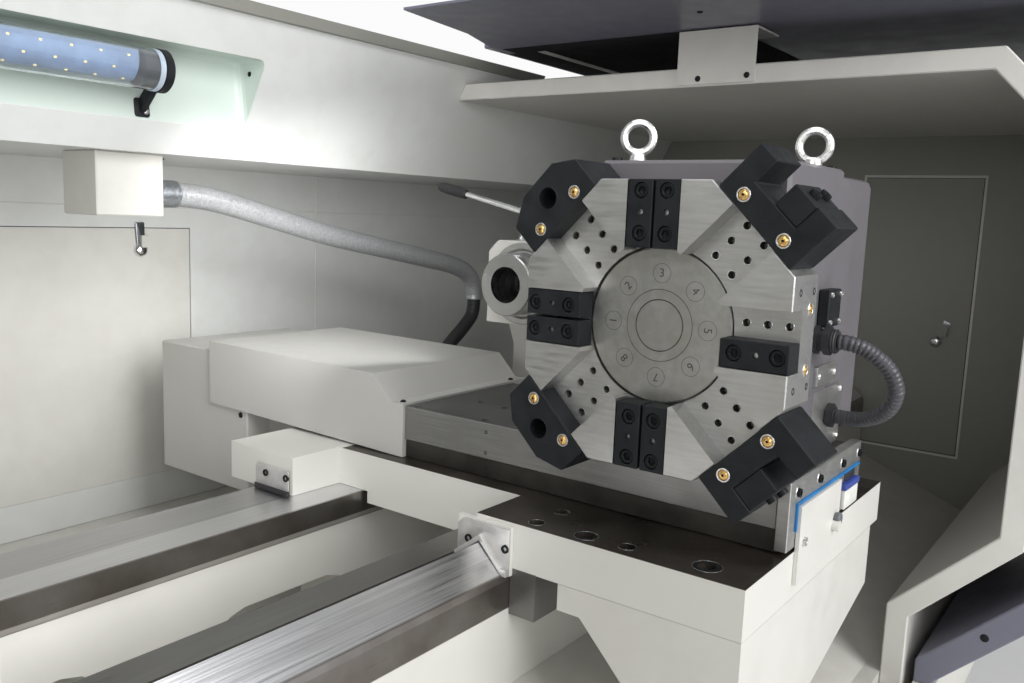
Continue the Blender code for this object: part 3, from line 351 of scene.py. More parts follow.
class Wires:
    """A new node material and a short way to wire it."""

    def __init__(self, name: str) -> None:
        """Makes the material and its object coordinates."""
        self.material = bpy.data.materials.new(name)
        self.material.use_nodes = True
        self.tree = self.material.node_tree
        self.shader = self.tree.nodes["Principled BSDF"]
        self.here = self.node("TexCoord").outputs["Object"]

    def feed(self, target: Socket, value: object) -> None:
        """Links a socket, or sets it to a number, a vector or a colour."""
        if isinstance(value, Socket):
            self.tree.links.new(value, target)
        elif target.type == "RGBA":
            target.default_value = (*value, 1.0)
        else:
            target.default_value = value

    def fill(self, node: bpy.types.Node, **values: object) -> None:
        """Feeds a node's inputs, with underscores for spaces in their names."""
        for name, value in values.items():
            self.feed(node.inputs[name.replace("_", " ")], value)

    def node(self, kind: str, **values: object) -> bpy.types.Node:
        """New shader node with its inputs fed."""
        node = self.tree.nodes.new("ShaderNode" + kind)
        self.fill(node, **values)
        return node

    def set(self, **values: object) -> None:
        """Feeds inputs of the surface's shader."""
        self.fill(self.shader, **values)

    def stretch(self, scale: Sequence[float], turn: Sequence[float] = (0.0, 0.0, 0.0)) -> Socket:
        """Object coordinates turned, then scaled along each axis."""
        node = self.node("Mapping", Vector=self.here, Scale=scale, Rotation=turn)
        return node.outputs["Vector"]

    def noise(self, scale: float, detail: float = 3.0, where: Optional[Socket] = None) -> Socket:
        """Soft noise from 0 to 1."""
        node = self.node("TexNoise", Vector=where or self.here, Scale=scale, Detail=detail)
        return node.outputs["Fac"]

    def cells(self, scale: float, where: Optional[Socket] = None,
              output: str = "Distance") -> Socket:
        """Distance to, or colour of, the nearest of scattered points."""
        node = self.node("TexVoronoi", Vector=where or self.here, Scale=scale)
        return node.outputs[output]

    def span(self, value: Socket, low: float, high: float, start: float = 0.3,
             end: float = 0.7) -> Socket:
        """Value from start to end mapped onto low to high, and held beyond them."""
        node = self.node("MapRange", Value=value, From_Min=start, From_Max=end, To_Min=low,
                         To_Max=high)
        return node.outputs["Result"]

    def tint(self, mask: Socket, low: object, high: object) -> Socket:
        """Colour that goes from low to high with a mask."""
        node = self.node("Mix")
        node.data_type = "RGBA"
        for place, value in ((0, mask), (6, low), (7, high)):
            self.feed(node.inputs[place], value)
        return node.outputs[2]

    def blend(self, value: Socket, low: object, high: object, start: float = 0.3,
              end: float = 0.7) -> Socket:
        """Colour that goes from low to high while a value goes from start to end."""
        return self.tint(self.span(value, 0.0, 1.0, start, end), low, high)

    def maths(self, how: str, *values: object) -> Socket:
        """One arithmetic step between sockets or numbers, repeated along the list."""
        result = values[0]
        for value in values[1:]:
            node = self.node("Math")
            node.operation = how
            self.feed(node.inputs[0], result)
            self.feed(node.inputs[1], value)
            result = node.outputs[0]
        return result

    def both(self, *masks: object) -> Socket:
        """Mask that holds where all of these do."""
        return self.maths("MULTIPLY", *masks)

    def either(self, *masks: object) -> Socket:
        """Mask that holds where one of these does."""
        return self.maths("MAXIMUM", *masks)

    def coordinate(self, axis: str) -> Socket:
        """One object coordinate."""
        return self.node("SeparateXYZ", Vector=self.here).outputs[axis]

    def beyond(self, axis: str, edge: float, soft: float = 0.0004) -> Socket:
        """Mask that is 1 past a place on one axis, counted from the turret's centre."""
        place = edge + TURRET["XYZ".index(axis)]
        return self.span(self.coordinate(axis), 0.0, 1.0, place - soft, place + soft)

    def below(self, axis: str, edge: float, soft: float = 0.0004) -> Socket:
        """Mask that is 1 before a place on one axis."""
        return self.maths("SUBTRACT", 1.0, self.beyond(axis, edge, soft))

    def within(self, axis: str, low: float, high: float) -> Socket:
        """Mask that is 1 between two places on one axis."""
        return self.both(self.beyond(axis, low), self.below(axis, high))

    def bump(self, height: Socket, strength: float, depth: float) -> Socket:
        """Normal disturbed by a height."""
        node = self.node("Bump", Strength=strength, Distance=depth, Height=height)
        return node.outputs["Normal"]

    def cover(self, mask: Socket, colour: Colour) -> None:
        """Lays a colour over the present base colour where a mask holds."""
        base = self.shader.inputs["Base Color"]
        self.feed(base, self.tint(mask, base.links[0].from_socket, colour))


@dataclass(frozen=True)
class Finish:
    """A named surface; each kind wires its own nodes once."""

    name: str

    def material(self) -> bpy.types.Material:
        """The material of this finish, made on first use."""
        known = bpy.data.materials.get(self.name)
        if known is not None:
            return known
        wires = Wires(self.name)
        self.wire(wires)
        return wires.material

    def wire(self, w: Wires) -> None:
        """Wires the nodes of this finish."""
        raise NotImplementedError


@dataclass(frozen=True)
class Paint(Finish):
    """Machine enamel: slow tone drift, fine orange peel and a thin film of dust and oil."""

    colour: Colour = (0.66, 0.65, 0.61)
    roughness: float = 0.40
    peel: float = 0.10
    soil: Colour = (0.36, 0.33, 0.28)
    dirt: float = 0.10

    def wire(self, w: Wires) -> None:
        """Wires tone, soil, gloss and peel."""
        slow, fine = w.noise(2.3, 4), w.noise(26.0, 5)
        tone = w.blend(slow, shade(self.colour, 0.95), self.colour)
        film = w.span(w.both(slow, fine), self.dirt, 0.0, 0.16, 0.34)
        specks = w.span(w.cells(95.0), 0.5 * self.dirt, 0.0, 0.04, 0.09)
        w.set(Base_Color=w.tint(w.either(film, specks), tone, self.soil),
              Roughness=w.span(fine, self.roughness - 0.05, self.roughness + 0.07),
              Coat_Weight=0.12, Coat_Roughness=0.22, IOR=1.46,
              Normal=w.bump(w.noise(420.0, 2), self.peel, 0.0006))


@dataclass(frozen=True)
class Steel(Finish):
    """Bare steel with grinding or turning lines along one way and faint stains."""

    colour: Colour = (0.50, 0.50, 0.50)
    roughness: float = 0.34
    lines: Colour = (9.0, 700.0, 700.0)
    depth: float = 0.10
    stain: float = 0.35
    metallic: float = 1.0

    def wire(self, w: Wires) -> None:
        """Wires lines, stains and the gloss that follows them."""
        grind = w.noise(1.0, 4, w.stretch(self.lines))
        cloud = w.noise(17.0, 5)
        base = w.blend(grind, shade(self.colour, 0.86), shade(self.colour, 1.10), 0.25, 0.75)
        oil = shade(self.colour, 0.74, 0.70, 0.62)
        w.set(Base_Color=w.tint(w.span(cloud, 0.0, self.stain, 0.45, 0.75), base, oil),
              Metallic=self.metallic,
              Roughness=w.span(w.maths("ADD", grind, cloud), self.roughness - 0.06,
                               self.roughness + 0.10, 0.7, 1.3),
              Normal=w.bump(grind, self.depth, 0.00025))


@dataclass(frozen=True)
class Oxide(Finish):
    """Blackened tool steel: near black, a satin sheen and scattered handling marks."""

    colour: Colour = (0.014, 0.015, 0.017)
    roughness: float = 0.44

    def wire(self, w: Wires) -> None:
        """Wires mottling, rubbed marks and a fine ground texture."""
        mottle = w.noise(48.0, 6)
        rub = w.noise(1.0, 5, w.stretch((60.0, 18.0, 240.0), (0.3, 0.5, 0.2)))
        base = w.blend(mottle, self.colour, shade(self.colour, 1.5))
        w.set(Base_Color=w.tint(w.span(rub, 0.0, 0.22, 0.64, 0.82), base, (0.10, 0.10, 0.105)),
              Metallic=0.10, Specular_IOR_Level=0.16,
              Roughness=w.span(mottle, self.roughness - 0.06, self.roughness + 0.10),
              Normal=w.bump(w.noise(900.0, 3), 0.10, 0.0002))


@dataclass(frozen=True)
class Zinc(Finish):
    """Galvanised or plated sheet with flat spangles."""

    colour: Colour = (0.58, 0.60, 0.61)
    roughness: float = 0.34
    grain: float = 130.0
    metallic: float = 1.0

    def wire(self, w: Wires) -> None:
        """Wires spangles of differing tone and gloss."""
        tone = w.node("RGBToBW", Color=w.cells(self.grain, output="Color")).outputs[0]
        w.set(Base_Color=w.blend(tone, shade(self.colour, 0.80), shade(self.colour, 1.1), 0.1, 0.9),
              Metallic=self.metallic,
              Roughness=w.span(tone, self.roughness - 0.07, self.roughness + 0.09, 0.1, 0.9),
              Normal=w.bump(w.noise(60.0, 4), 0.08, 0.0008))


@dataclass(frozen=True)
class Moulded(Finish):
    """Rubber or plastic with a fine grain."""

    colour: Colour = (0.02, 0.02, 0.022)
    roughness: float = 0.5
    grain: float = 800.0

    def wire(self, w: Wires) -> None:
        """Wires grain and a little wear in the gloss."""
        wear = w.noise(40.0, 4)
        w.set(Base_Color=w.blend(wear, self.colour, shade(self.colour, 1.35)),
              Roughness=w.span(wear, self.roughness - 0.06, self.roughness + 0.08),
              Normal=w.bump(w.noise(self.grain, 2), 0.15, 0.0003))


@dataclass(frozen=True)
class Glass(Finish):
    """Clear pane or tube with faint smears."""

    colour: Colour = (0.92, 0.96, 0.98)
    clear: float = 0.9

    def wire(self, w: Wires) -> None:
        """Wires smears into the gloss of a clear shell."""
        smear = w.noise(9.0, 5)
        w.set(Base_Color=w.blend(smear, self.colour, shade(self.colour, 0.94)),
              Roughness=w.span(smear, 0.02, 0.10), Transmission_Weight=self.clear, IOR=1.45)


@dataclass(frozen=True)
class Glow(Finish):
    """Lit or screen surface with a small even glow under a glossy face."""

    colour: Colour = (1.0, 0.93, 0.72)
    light: float = 1.0

    def wire(self, w: Wires) -> None:
        """Wires the glow and a faint unevenness."""
        uneven = w.noise(60.0, 3)
        w.set(Base_Color=w.blend(uneven, shade(self.colour, 0.9), self.colour),
              Roughness=0.25, Emission_Strength=self.light, Emission_Color=self.colour)


@dataclass(frozen=True)
class Casting(Finish):
    """The bed: painted casting below, ground steel ways above, oily in the guide corner."""

    def wire(self, w: Wires) -> None:
        """Wires paint and steel on either side of the machined edges."""
        cloud = w.noise(11.0, 5)
        grind = w.noise(1.0, 4, w.stretch((5.0, 620.0, 620.0)))

        def ground(low: Colour, high: Colour) -> Socket:
            """Steel tone that follows the grinding lines."""
            return w.blend(grind, low, high, 0.25, 0.75)

        paint = w.blend(cloud, (0.62, 0.61, 0.57), (0.66, 0.65, 0.61))
        oily = w.blend(cloud, (0.21, 0.19, 0.17), (0.36, 0.34, 0.33), 0.35, 0.7)
        lip = w.beyond("Z", -0.3585, 0.0006)
        machined = w.either(w.beyond("Z", -0.3225, 0.0006), w.both(lip, w.beyond("Y", 0.496)),
                            w.both(lip, w.below("Y", 0.236)))
        low = w.below("Z", -0.3085)
        wet = w.either(w.both(w.beyond("Y", 0.2275, 0.0008), low), w.within("Y", 0.4955, 0.5008),
                       w.both(w.below("Y", 0.1545, 0.0008), low))
        # The vee and the rear inner strip get a lighter copy of the ground steel and the inner flat
        # a darker one: painted highlight on the vee, painted shade on the inner flat.
        vee_and_edge = w.either(w.below("Y", 0.2268, 0.0006), w.within("Y", 0.5008, 0.5560))
        flat = w.maths("SUBTRACT", w.beyond("Y", 0.2272, 0.0006), w.beyond("Y", 0.4000))
        steel = w.tint(vee_and_edge, ground((0.40, 0.40, 0.41), (0.60, 0.60, 0.61)),
                       ground((0.60, 0.60, 0.61), (0.82, 0.82, 0.83)))
        steel = w.tint(flat, steel, ground((0.19, 0.185, 0.175), (0.27, 0.265, 0.255)))
        w.set(Base_Color=w.tint(machined, paint, w.tint(wet, steel, oily)), Metallic=machined,
              Roughness=w.maths("ADD", w.span(grind, 0.26, 0.40, 0.25, 0.75),
                                w.span(machined, 0.12, 0.0, 0.0, 1.0)),
              Normal=w.bump(w.both(grind, machined), 0.12, 0.0003))


@dataclass(frozen=True)
class ScrapedSaddle(Finish):
    """The saddle: oily scraped iron on its top, planed iron on its keeper, paint on its sides."""

    def wire(self, w: Wires) -> None:
        """Wires scraping flakes and an oil film under masks of place."""
        flake = w.cells(150.0, w.stretch((1.0, 0.55, 1.0), (0.0, 0.0, 0.6)))
        film, fine = w.noise(13.0, 6), w.noise(310.0, 3)
        iron = w.blend(film, (0.050, 0.040, 0.033), (0.115, 0.100, 0.086))
        rubbed = w.tint(w.span(w.both(flake, fine), 0.35, 0.0, 0.02, 0.12), iron,
                        (0.24, 0.22, 0.20))
        holes = w.both(w.within("X", -0.0262, 0.4780), w.within("Y", -0.1430, 0.2000),
                       w.beyond("Z", -0.2700))
        top = w.either(w.both(w.beyond("Z", -0.2506, 0.0003), w.below("Y", 0.545)), holes)
        keeper = w.both(w.below("Z", -0.3070), w.within("Y", 0.1115, 0.1500))
        planed = w.blend(film, (0.15, 0.145, 0.14), (0.23, 0.225, 0.215))
        metal = w.either(top, keeper)
        w.set(Base_Color=w.tint(top, w.tint(keeper, (0.66, 0.65, 0.61), planed), rubbed),
              Metallic=w.both(metal, 0.75),
              Roughness=w.maths("ADD", w.span(film, 0.26, 0.44),
                                w.span(metal, 0.06, 0.0, 0.0, 1.0)),
              Normal=w.bump(w.both(flake, top), 0.16, 0.0006))


@dataclass(frozen=True)
class PlanedSlide(Finish):
    """The cross slide: planed iron with long tool lines, darker along the recessed band of its gib.
    """

    def wire(self, w: Wires) -> None:
        """Wires tool lines, stains and the gib's band under a mask of height."""
        lines = w.noise(1.0, 4, w.stretch((640.0, 11.0, 640.0)))
        cloud = w.noise(15.0, 5)
        plain = w.blend(lines, (0.27, 0.27, 0.265), (0.38, 0.38, 0.375), 0.25, 0.75)
        side = w.tint(w.span(cloud, 0.0, 0.4, 0.45, 0.75), plain, (0.22, 0.21, 0.19))
        gib = w.blend(cloud, (0.060, 0.056, 0.052), (0.120, 0.112, 0.102), 0.35, 0.7)
        top = w.blend(cloud, (0.130, 0.128, 0.124), (0.200, 0.198, 0.192))
        upper = w.tint(w.beyond("Z", -0.1714, 0.0002), side, top)
        w.set(Base_Color=w.tint(w.beyond("Z", -0.2220, 0.0003), gib, upper), Metallic=0.85,
              Roughness=w.span(w.maths("ADD", lines, cloud), 0.34, 0.50, 0.7, 1.3),
              Normal=w.bump(lines, 0.08, 0.00025))


@dataclass(frozen=True)
class GuardPaint(Paint):
    """Guard enamel whose lamp recess is a cooler, greener white."""

    slope: tuple[float, float] = (0.4783, 0.8782)

    def wire(self, w: Wires) -> None:
        """Wires enamel, then tints the recess between limits along and into the slope."""
        super().wire(w)
        y, z = w.coordinate("Y"), w.coordinate("Z")
        less, more = self.slope
        deep = w.maths("ADD", w.both(y, more), w.both(z, less))
        down = w.maths("SUBTRACT", w.both(y, less), w.both(z, more))
        w.cover(w.both(w.within("X", -0.7206, 0.0756),
                       w.span(down, 0.0, 1.0, -1.1595, -1.1585),
                       w.span(down, 1.0, 0.0, -1.0341, -1.0336),
                       w.span(deep, 0.0, 1.0, 0.9982, 0.9988),
                       w.span(deep, 1.0, 0.0, 1.0720, 1.0730)), (0.58, 0.66, 0.61))


@dataclass(frozen=True)
class EndPaint(Paint):
    """End wall enamel, dark with painted shade inside the machine and warm white outside."""

    def wire(self, w: Wires) -> None:
        """Wires enamel, then the outer face's own tone past the middle of the sheet."""
        super().wire(w)
        w.cover(w.beyond("X", 1.5038, 0.0001), (0.65, 0.64, 0.60))


ENAMEL = Paint("warm_white_enamel")
# Cooler white than the other enamel, also made lighter to stand in for light on the rear guard:
# painted light.
GUARD = GuardPaint("guard_enamel", (0.69, 0.70, 0.685))
PANEL_PAINT = Paint("folded_cover_enamel", (0.68, 0.67, 0.63), 0.38, 0.06, dirt=0.07)
# Darker copy of the cover enamel for the motor hood and the slide's rear cover: painted shade.
HOOD_PAINT = Paint("hood_enamel_painted_shade", (0.50, 0.495, 0.47), 0.40, 0.06, dirt=0.07)
# Dark enamel for the end wall and its door inside the machine, and for the roof hem: painted shade.
PAINTED_SHADE_ENAMEL = EndPaint("end_wall_painted_shade_enamel", (0.27, 0.27, 0.245), 0.42)
DOOR_PAINT = Paint("blue_grey_enamel", (0.165, 0.165, 0.215), 0.38, 0.14, (0.09, 0.09, 0.10))
HOUSING_PAINT = Paint("mauve_grey_enamel", (0.150, 0.142, 0.155), 0.42, 0.22, (0.08, 0.07, 0.07))
BASE_PAINT = Paint("base_enamel", (0.62, 0.61, 0.57), 0.44, 0.16, dirt=0.2)
CASTING = Casting("bed_casting")
SADDLE = ScrapedSaddle("scraped_saddle")
SLIDE_STEEL = PlanedSlide("planed_slide")
WIPER_STEEL = Steel("wiper_plate_steel", (0.62, 0.61, 0.60), 0.36, (60.0, 60.0, 60.0), 0.03, 0.2,
                    0.55)
FACE_STEEL = Steel("ground_disc_face", (0.53, 0.53, 0.52), 0.42, (240.0, 26.0, 260.0), 0.07, 0.30)
CAP_STEEL = Steel("turned_hub_cap", (0.45, 0.45, 0.43), 0.40, (60.0, 120.0, 120.0), 0.05, 0.55)
BRIGHT_STEEL = Steel("bright_turned_steel", (0.62, 0.62, 0.62), 0.22, (500.0, 40.0, 40.0), 0.06,
                     0.12)
QUILL_STEEL = Steel("ground_quill", (0.55, 0.55, 0.55), 0.26, (820.0, 12.0, 12.0), 0.06, 0.2)
MARK = Steel("engraved_line", (0.13, 0.13, 0.125), 0.50, (300.0, 300.0, 300.0), 0.04, 0.3)
BRASS = Steel("nozzle_brass", (0.82, 0.53, 0.20), 0.22, (600.0, 80.0, 80.0), 0.05, 0.2)
CHROME = Steel("chrome_rod", (0.78, 0.78, 0.79), 0.10, (50.0, 50.0, 50.0), 0.01, 0.05)
LATCH = Steel("latch_steel", (0.30, 0.31, 0.33), 0.30, (90.0, 90.0, 90.0), 0.05, 0.3)
BLACK = Oxide("black_oxide")
SCREW_BLACK = Oxide("screw_black", (0.009, 0.010, 0.011), 0.36)
PLATED = Zinc("plated_fitting", (0.80, 0.80, 0.78), 0.27, 2600.0)
GALVANISED = Zinc("galvanised_duct", (0.52, 0.53, 0.545), 0.38, 420.0, 0.60)
COLLAR = Zinc("plain_duct_collar", (0.46, 0.49, 0.52), 0.34, 300.0)
RUBBER = Moulded("black_rubber")
# Near-black sheet under the right door's roof: painted shade.
PAINTED_SHADE_BLACK = Moulded("painted_shade_black", (0.004, 0.004, 0.005), 0.90, 300.0)
HOSE = Moulded("conduit_jacket", (0.045, 0.045, 0.052), 0.34)
SEAL_BLUE = Moulded("blue_seal", (0.004, 0.135, 0.36), 0.40)
CAP_BLUE = Moulded("blue_cap", (0.030, 0.055, 0.25), 0.46)
IVORY = Moulded("ivory_plastic", (0.62, 0.62, 0.58), 0.42)
STOP_RED = Moulded("stop_red", (0.55, 0.015, 0.012), 0.32)
STOP_YELLOW = Moulded("stop_yellow", (0.75, 0.46, 0.02), 0.38)
KEY_GREY = Moulded("key_grey", (0.10, 0.105, 0.115), 0.46)
START_GREEN = Moulded("start_green", (0.02, 0.28, 0.06), 0.36)
STRIP = Moulded("led_strip_board", (0.28, 0.38, 0.58), 0.35)
PLUG = Moulded("lamp_plug", (0.035, 0.038, 0.045), 0.55, 90.0)
BAND = Moulded("lamp_seal_band", (0.38, 0.44, 0.52), 0.30)
PANE = Glass("window_pane", (0.80, 0.88, 0.90), 0.85)
TUBE_GLASS = Glass("lamp_tube_glass", (0.93, 0.97, 1.0), 0.95)
DIODE = Glow("led_diode", (1.0, 0.78, 0.36), 0.9)
SCREEN = Glow("screen_face", (0.02, 0.05, 0.09), 0.15)

NODE_FINISH: dict[Finish, str] = {
    BASE_PAINT: "base",
    CASTING: "bed",
    ENAMEL: "headstock left_guard left_wall right_guard junction_box apron tailstock_base "
            "tailstock_body rear_access_door door_rail_bracket",
    GUARD: "rear_guard",
    HOOD_PAINT: "motor_cover slide_rear_cover",
    PANEL_PAINT: "front_cover_plate rear_wiper front_wiper",
    PAINTED_SHADE_ENAMEL: "right_end_wall right_access_door",
    DOOR_PAINT: "right_door left_door control_panel",
    HOUSING_PAINT: "turret_housing",
    SADDLE: "saddle",
    SLIDE_STEEL: "cross_slide",
    FACE_STEEL: "turret_disc slide_end_plate",
    BRIGHT_STEEL: "spindle chuck_body",
    QUILL_STEEL: "quill",
    PLATED: "front_eyebolt rear_eyebolt handwheel",
    BLACK: "upper_turning_holder lower_turning_holder upper_boring_holder lower_boring_holder "
           "upper_turning_wedge lower_turning_wedge top_block_front top_block_rear "
           "bottom_block_front bottom_block_rear rear_block_upper rear_block_lower front_block "
           "jaw_1 jaw_2 jaw_3 sensor_block",
    RUBBER: "cable_gland",
    GALVANISED: "cable_duct",
    PANE: "right_window left_window",
}


def dress_nodes() -> None:
    """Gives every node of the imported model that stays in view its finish."""
    for finish, names in NODE_FINISH.items():
        for name in names.split():
            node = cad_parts[name]
            node.data.materials.clear()
            node.data.materials.append(finish.material())
            LOG.info("%s gets %s", name, finish.name)


# Small parts used in many places


def cap_screw(head: float, tall: float, key: float, deep: float) -> Array:
    """Socket cap screw seen from its head, whose top lies at height 0.

    The profile runs from the middle of the underside up the outside, over a rounded rim, and
    down the six-sided socket to its cone.

    Args:
        head: Radius of the head.
        tall: Height of the head.
        key: Half the width of the socket across flats.
        deep: Depth of the socket.

    Returns:
        Points of the surface.
    """
    rim = 0.08 * head
    return turned([(0, -tall), (head, -tall), (head, -rim), (head - 0.3 * rim, -0.3 * rim),
                   (head - rim, 0), (1.28 * key, 0), (1.10 * key, -0.10 * key, 1.0),
                   (key, -0.2 * key, 1.0), (key, -deep, 1.0), (0, -deep - 0.35 * key)], 36)


def set_screw(radius: float, key: float, tall: float = 0.004) -> Array:
    """Headless screw with a chamfered rim and a six-sided socket, its top at height 0."""
    return turned([(0, -tall), (radius, -tall), (radius, -0.12 * radius), (0.88 * radius, 0),
                   (1.2 * key, 0), (key, -0.15 * key, 1.0), (key, -0.6 * tall, 1.0),
                   (0, -0.7 * tall)], 24)


def dome(radius: float, rise: float, rings: int = 6) -> Array:
    """Low dome: radius * cos(a) wide and rise * sin(a) high, on a flat underside at height 0."""
    a = np.linspace(0.0, np.pi / 2, rings)
    rows = np.stack((radius * np.cos(a), rise * np.sin(a)), axis=1)
    return turned([(0.0, 0.0), *rows.tolist()], 24)


def washer(inner: float, outer: float, low: float, high: float, segments: int = 32) -> Array:
    """Ring with a slight chamfer, closed on itself."""
    c = 0.15 * (outer - inner)
    return turned([(inner, low), (outer, low), (outer, high - c), (outer - c, high),
                   (inner + c, high), (inner, high - c)], segments)


def plate(low: Sequence[float], high: Sequence[float], corner: float, bottom: float, top: float,
          edge: float = 0.001, steps: int = 2, bends: int = 4) -> Array:
    """Rectangular plate with rounded corners and rims.

    Args:
        low: One corner.
        high: The corner across from it.
        corner: Radius of the corners.
        bottom: Height of the lower face.
        top: Height of the upper face.
        edge: Radius of the rims.
        steps: Spans of each rim.
        bends: Spans of each corner.

    Returns:
        Points of the surface.
    """
    return slab(rounded(rectangle(low, high), corner, bends), bottom, top, edge, steps)


def facing(way: Vector3, points: Sequence[Vector3]) -> list[Seat]:
    """Seats at several points that look one way."""
    return [Seat(point, way) for point in points]


def on_front(y: float) -> Seat:
    """Sheet's seat that faces the operator, drawn along X and Z."""
    return Seat((0, y, 0), FRONTWARDS, RIGHTWARDS)


def on_rear(y: float) -> Seat:
    """Sheet's seat that faces the rear, drawn along -X and Z."""
    return Seat((0, y, 0), REARWARDS, LEFTWARDS)


def on_right(x: float) -> Seat:
    """Sheet's seat that faces the tailstock's end, drawn along Y and Z."""
    return Seat((x, 0, 0), RIGHTWARDS, REARWARDS)


def at(angle: float, r: float, t: float) -> tuple[float, float]:
    """Y and Z of a place at a turret station, out from the centre and along its flat."""
    out = (math.cos(angle), math.sin(angle))
    along = (-out[1], out[0])
    if along[0] < 0 or (abs(along[0]) < 0.001 and along[1] < 0):
        along = (-along[0], -along[1])
    return (out[0] * r + along[0] * t, out[1] * r + along[1] * t)


def outwards(angle: float) -> Vector3:
    """The way that a turret station looks."""
    return (0.0, math.cos(angle), math.sin(angle))


QUARTER = math.pi / 4
REAR, REAR_UP, UP, FRONT_UP = 0.0, QUARTER, 2 * QUARTER, 3 * QUARTER
FRONT, FRONT_DOWN, DOWN, REAR_DOWN = 4 * QUARTER, 5 * QUARTER, 6 * QUARTER, 7 * QUARTER


@dataclass
class Turret:
    """The tool disc's screws, tapped holes, coolant nozzles and numbered hub cap."""

    tap_radii: Vector3 = (0.102, 0.125, 0.148)
    tap_offset: float = 0.0138
    tap_r: float = 0.0043
    slot_floor: float = 0.030
    block_spread: float = 1.12
    hub_r: float = 0.087
    hub_face: float = 0.031
    hub_back: float = 0.0445
    ring_radii: tuple[float, float] = (0.0290, 0.0405)
    number_r: float = 0.0585
    number_ring: float = 0.0108
    number_size: float = 0.0135
    flat: float = 0.160
    bore_r: float = 0.1935

    def build(self) -> None:
        """Builds every piece of the disc."""
        self.screws()
        self.taps()
        self.nozzles()
        self.hub()
        self.flats()
        self.holders()

    def screws(self) -> None:
        """Cap screws and set screws in the clamp blocks, looking along -X."""
        heads, sets, cups = Shape(), Shape(), Shape()
        inner, middle, outer = self.tap_radii
        for angle, side in ((UP, 1), (UP, -1), (DOWN, 1), (DOWN, -1), (REAR, 1), (REAR, -1),
                            (FRONT, -1)):
            offset = side * self.tap_offset * self.block_spread
            places = [at(angle, r, offset) for r in (inner, outer)]
            heads.each(cap_screw(0.0079, 0.0085, 0.0040, 0.0046),
                       facing(LEFTWARDS, [(0.0016, *p) for p in places]))
            cups.each(washer(0.0088, 0.0093, -0.0003, 0.00012),
                      facing(LEFTWARDS, [(0.0005, *p) for p in places]), loop=True)
            sets.add(set_screw(0.0034, 0.0016),
                     Seat((0.0052, *at(angle, middle, offset)), LEFTWARDS))
        heads.write("block_cap_screws", SCREW_BLACK, Body.TURRET)
        cups.write("block_counterbore_rims", BLACK, Body.TURRET)
        sets.write("block_set_screws", PLATED, Body.TURRET)

    def taps(self) -> None:
        """Bright chamfers and turned threads of the tapped holes in the open slots.

        A thread is a row of rings whose radius swings between the root and the crest.
        """
        places = [(a, r, t) for a in (REAR_UP, FRONT_UP, FRONT_DOWN, REAR_DOWN)
                  for r in self.tap_radii for t in (-self.tap_offset, self.tap_offset)]
        places += [(FRONT, r, self.tap_offset) for r in self.tap_radii]
        seats = facing(LEFTWARDS, [(self.slot_floor, *at(*place)) for place in places])
        zigzag = [(self.tap_r - 0.00015 - 0.00045 * (k % 2), -0.0008 - 0.0006 * k)
                  for k in range(18)]
        wall = [(self.tap_r - 0.00008, z) for z in (-0.0114, -0.0005)]
        rim = washer(self.tap_r - 0.0001, self.tap_r + 0.0008, -0.0002, 0.00012, 24)
        Shape().each(rim, seats, loop=True).write("tapped_hole_chamfers", BRIGHT_STEEL, Body.TURRET)
        Shape().each(turned([*zigzag, *wall], 20), seats, loop=True).write(
            "tapped_hole_threads", MARK, Body.TURRET)

    def nozzles(self) -> None:
        """Coolant nozzles: a drilled brass ball in a bright ring, on the holders and the flats."""
        rings, balls = Shape(), Shape()
        seats = [Seat((0.0, *at(angle, r, s * t)), LEFTWARDS, (0, 1, 1))
                 for angle, r, t in ((FRONT_UP, 0.174, 0.0313), (FRONT_DOWN, 0.174, 0.0313),
                                     (REAR_UP, 0.1735, 0.0310), (REAR_DOWN, 0.1735, 0.0310))
                 for s in (-1, 1)]
        seats += [Seat((0.052, *at(angle, self.flat, s * 0.0318)), outwards(angle))
                  for angle in (UP, FRONT, DOWN, REAR) for s in (-1, 1)]
        a = np.linspace(0.15, np.pi / 2 - 0.24, 7)
        cap = np.stack((0.0060 * np.cos(a), 0.0030 * np.sin(a) - 0.0010), axis=1).tolist()
        ball = turned([(0, -0.003), (0.0060, -0.003), *cap, (0.0013, 0.0012), (0.0012, -0.0016),
                       (0, -0.0018)], 24)
        for seat in seats:
            rings.add(washer(0.0060, 0.0076, -0.0010, 0.0009), seat, loop=True)
            balls.add(ball, seat)
            tip = np.array(seat.point) + 0.0014 * np.array(seat.out)
            balls.add(washer(0.0022, 0.0030, -0.0010, 0.0004, 20),
                      Seat(tuple(tip), seat.out, seat.along), loop=True)
        rings.write("nozzle_rings", PLATED, Body.TURRET)
        balls.write("nozzle_balls", BRASS, Body.TURRET)

    def hub(self) -> None:
        """Hub cap with two turned rings, and station numbers in thin circles."""
        x, back = self.hub_face, self.hub_face - self.hub_back
        rows = [(0, 0.0), (0.0255, 0.0)]
        for r, width in zip(self.ring_radii, (0.0007, 0.0004)):
            rows += [(r - width, 0.0), (r - 0.5 * width, -width), (r + 0.5 * width, -width),
                     (r + width, 0.0)]
        rows += [(self.hub_r - 0.0012, 0.0), (self.hub_r, -0.0010), (self.hub_r, back), (0, back)]
        middle = Seat((x, 0, 0), LEFTWARDS)
        piece = Shape().add(turned(rows, 96), middle).write(
            "numbered_hub_cap", CAP_STEEL, Body.TURRET, slot="mat_hub_cap")
        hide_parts("hub_cap")
        lines = Shape()
        for r in self.ring_radii:
            lines.add(washer(r - 0.00035, r + 0.00035, -0.0009, -0.00015, 96), middle, loop=True)
        for number in range(8):
            angle = number * QUARTER
            y, z = self.number_r * math.cos(angle), self.number_r * math.sin(angle)
            lines.add(washer(self.number_ring - 0.00022, self.number_ring + 0.00022, -0.0003,
                             0.00008, 48), Seat((x, y, z), LEFTWARDS), loop=True)
            self.figure(number + 1, angle)
        lines.write("hub_ring_lines", MARK, Body.TURRET)

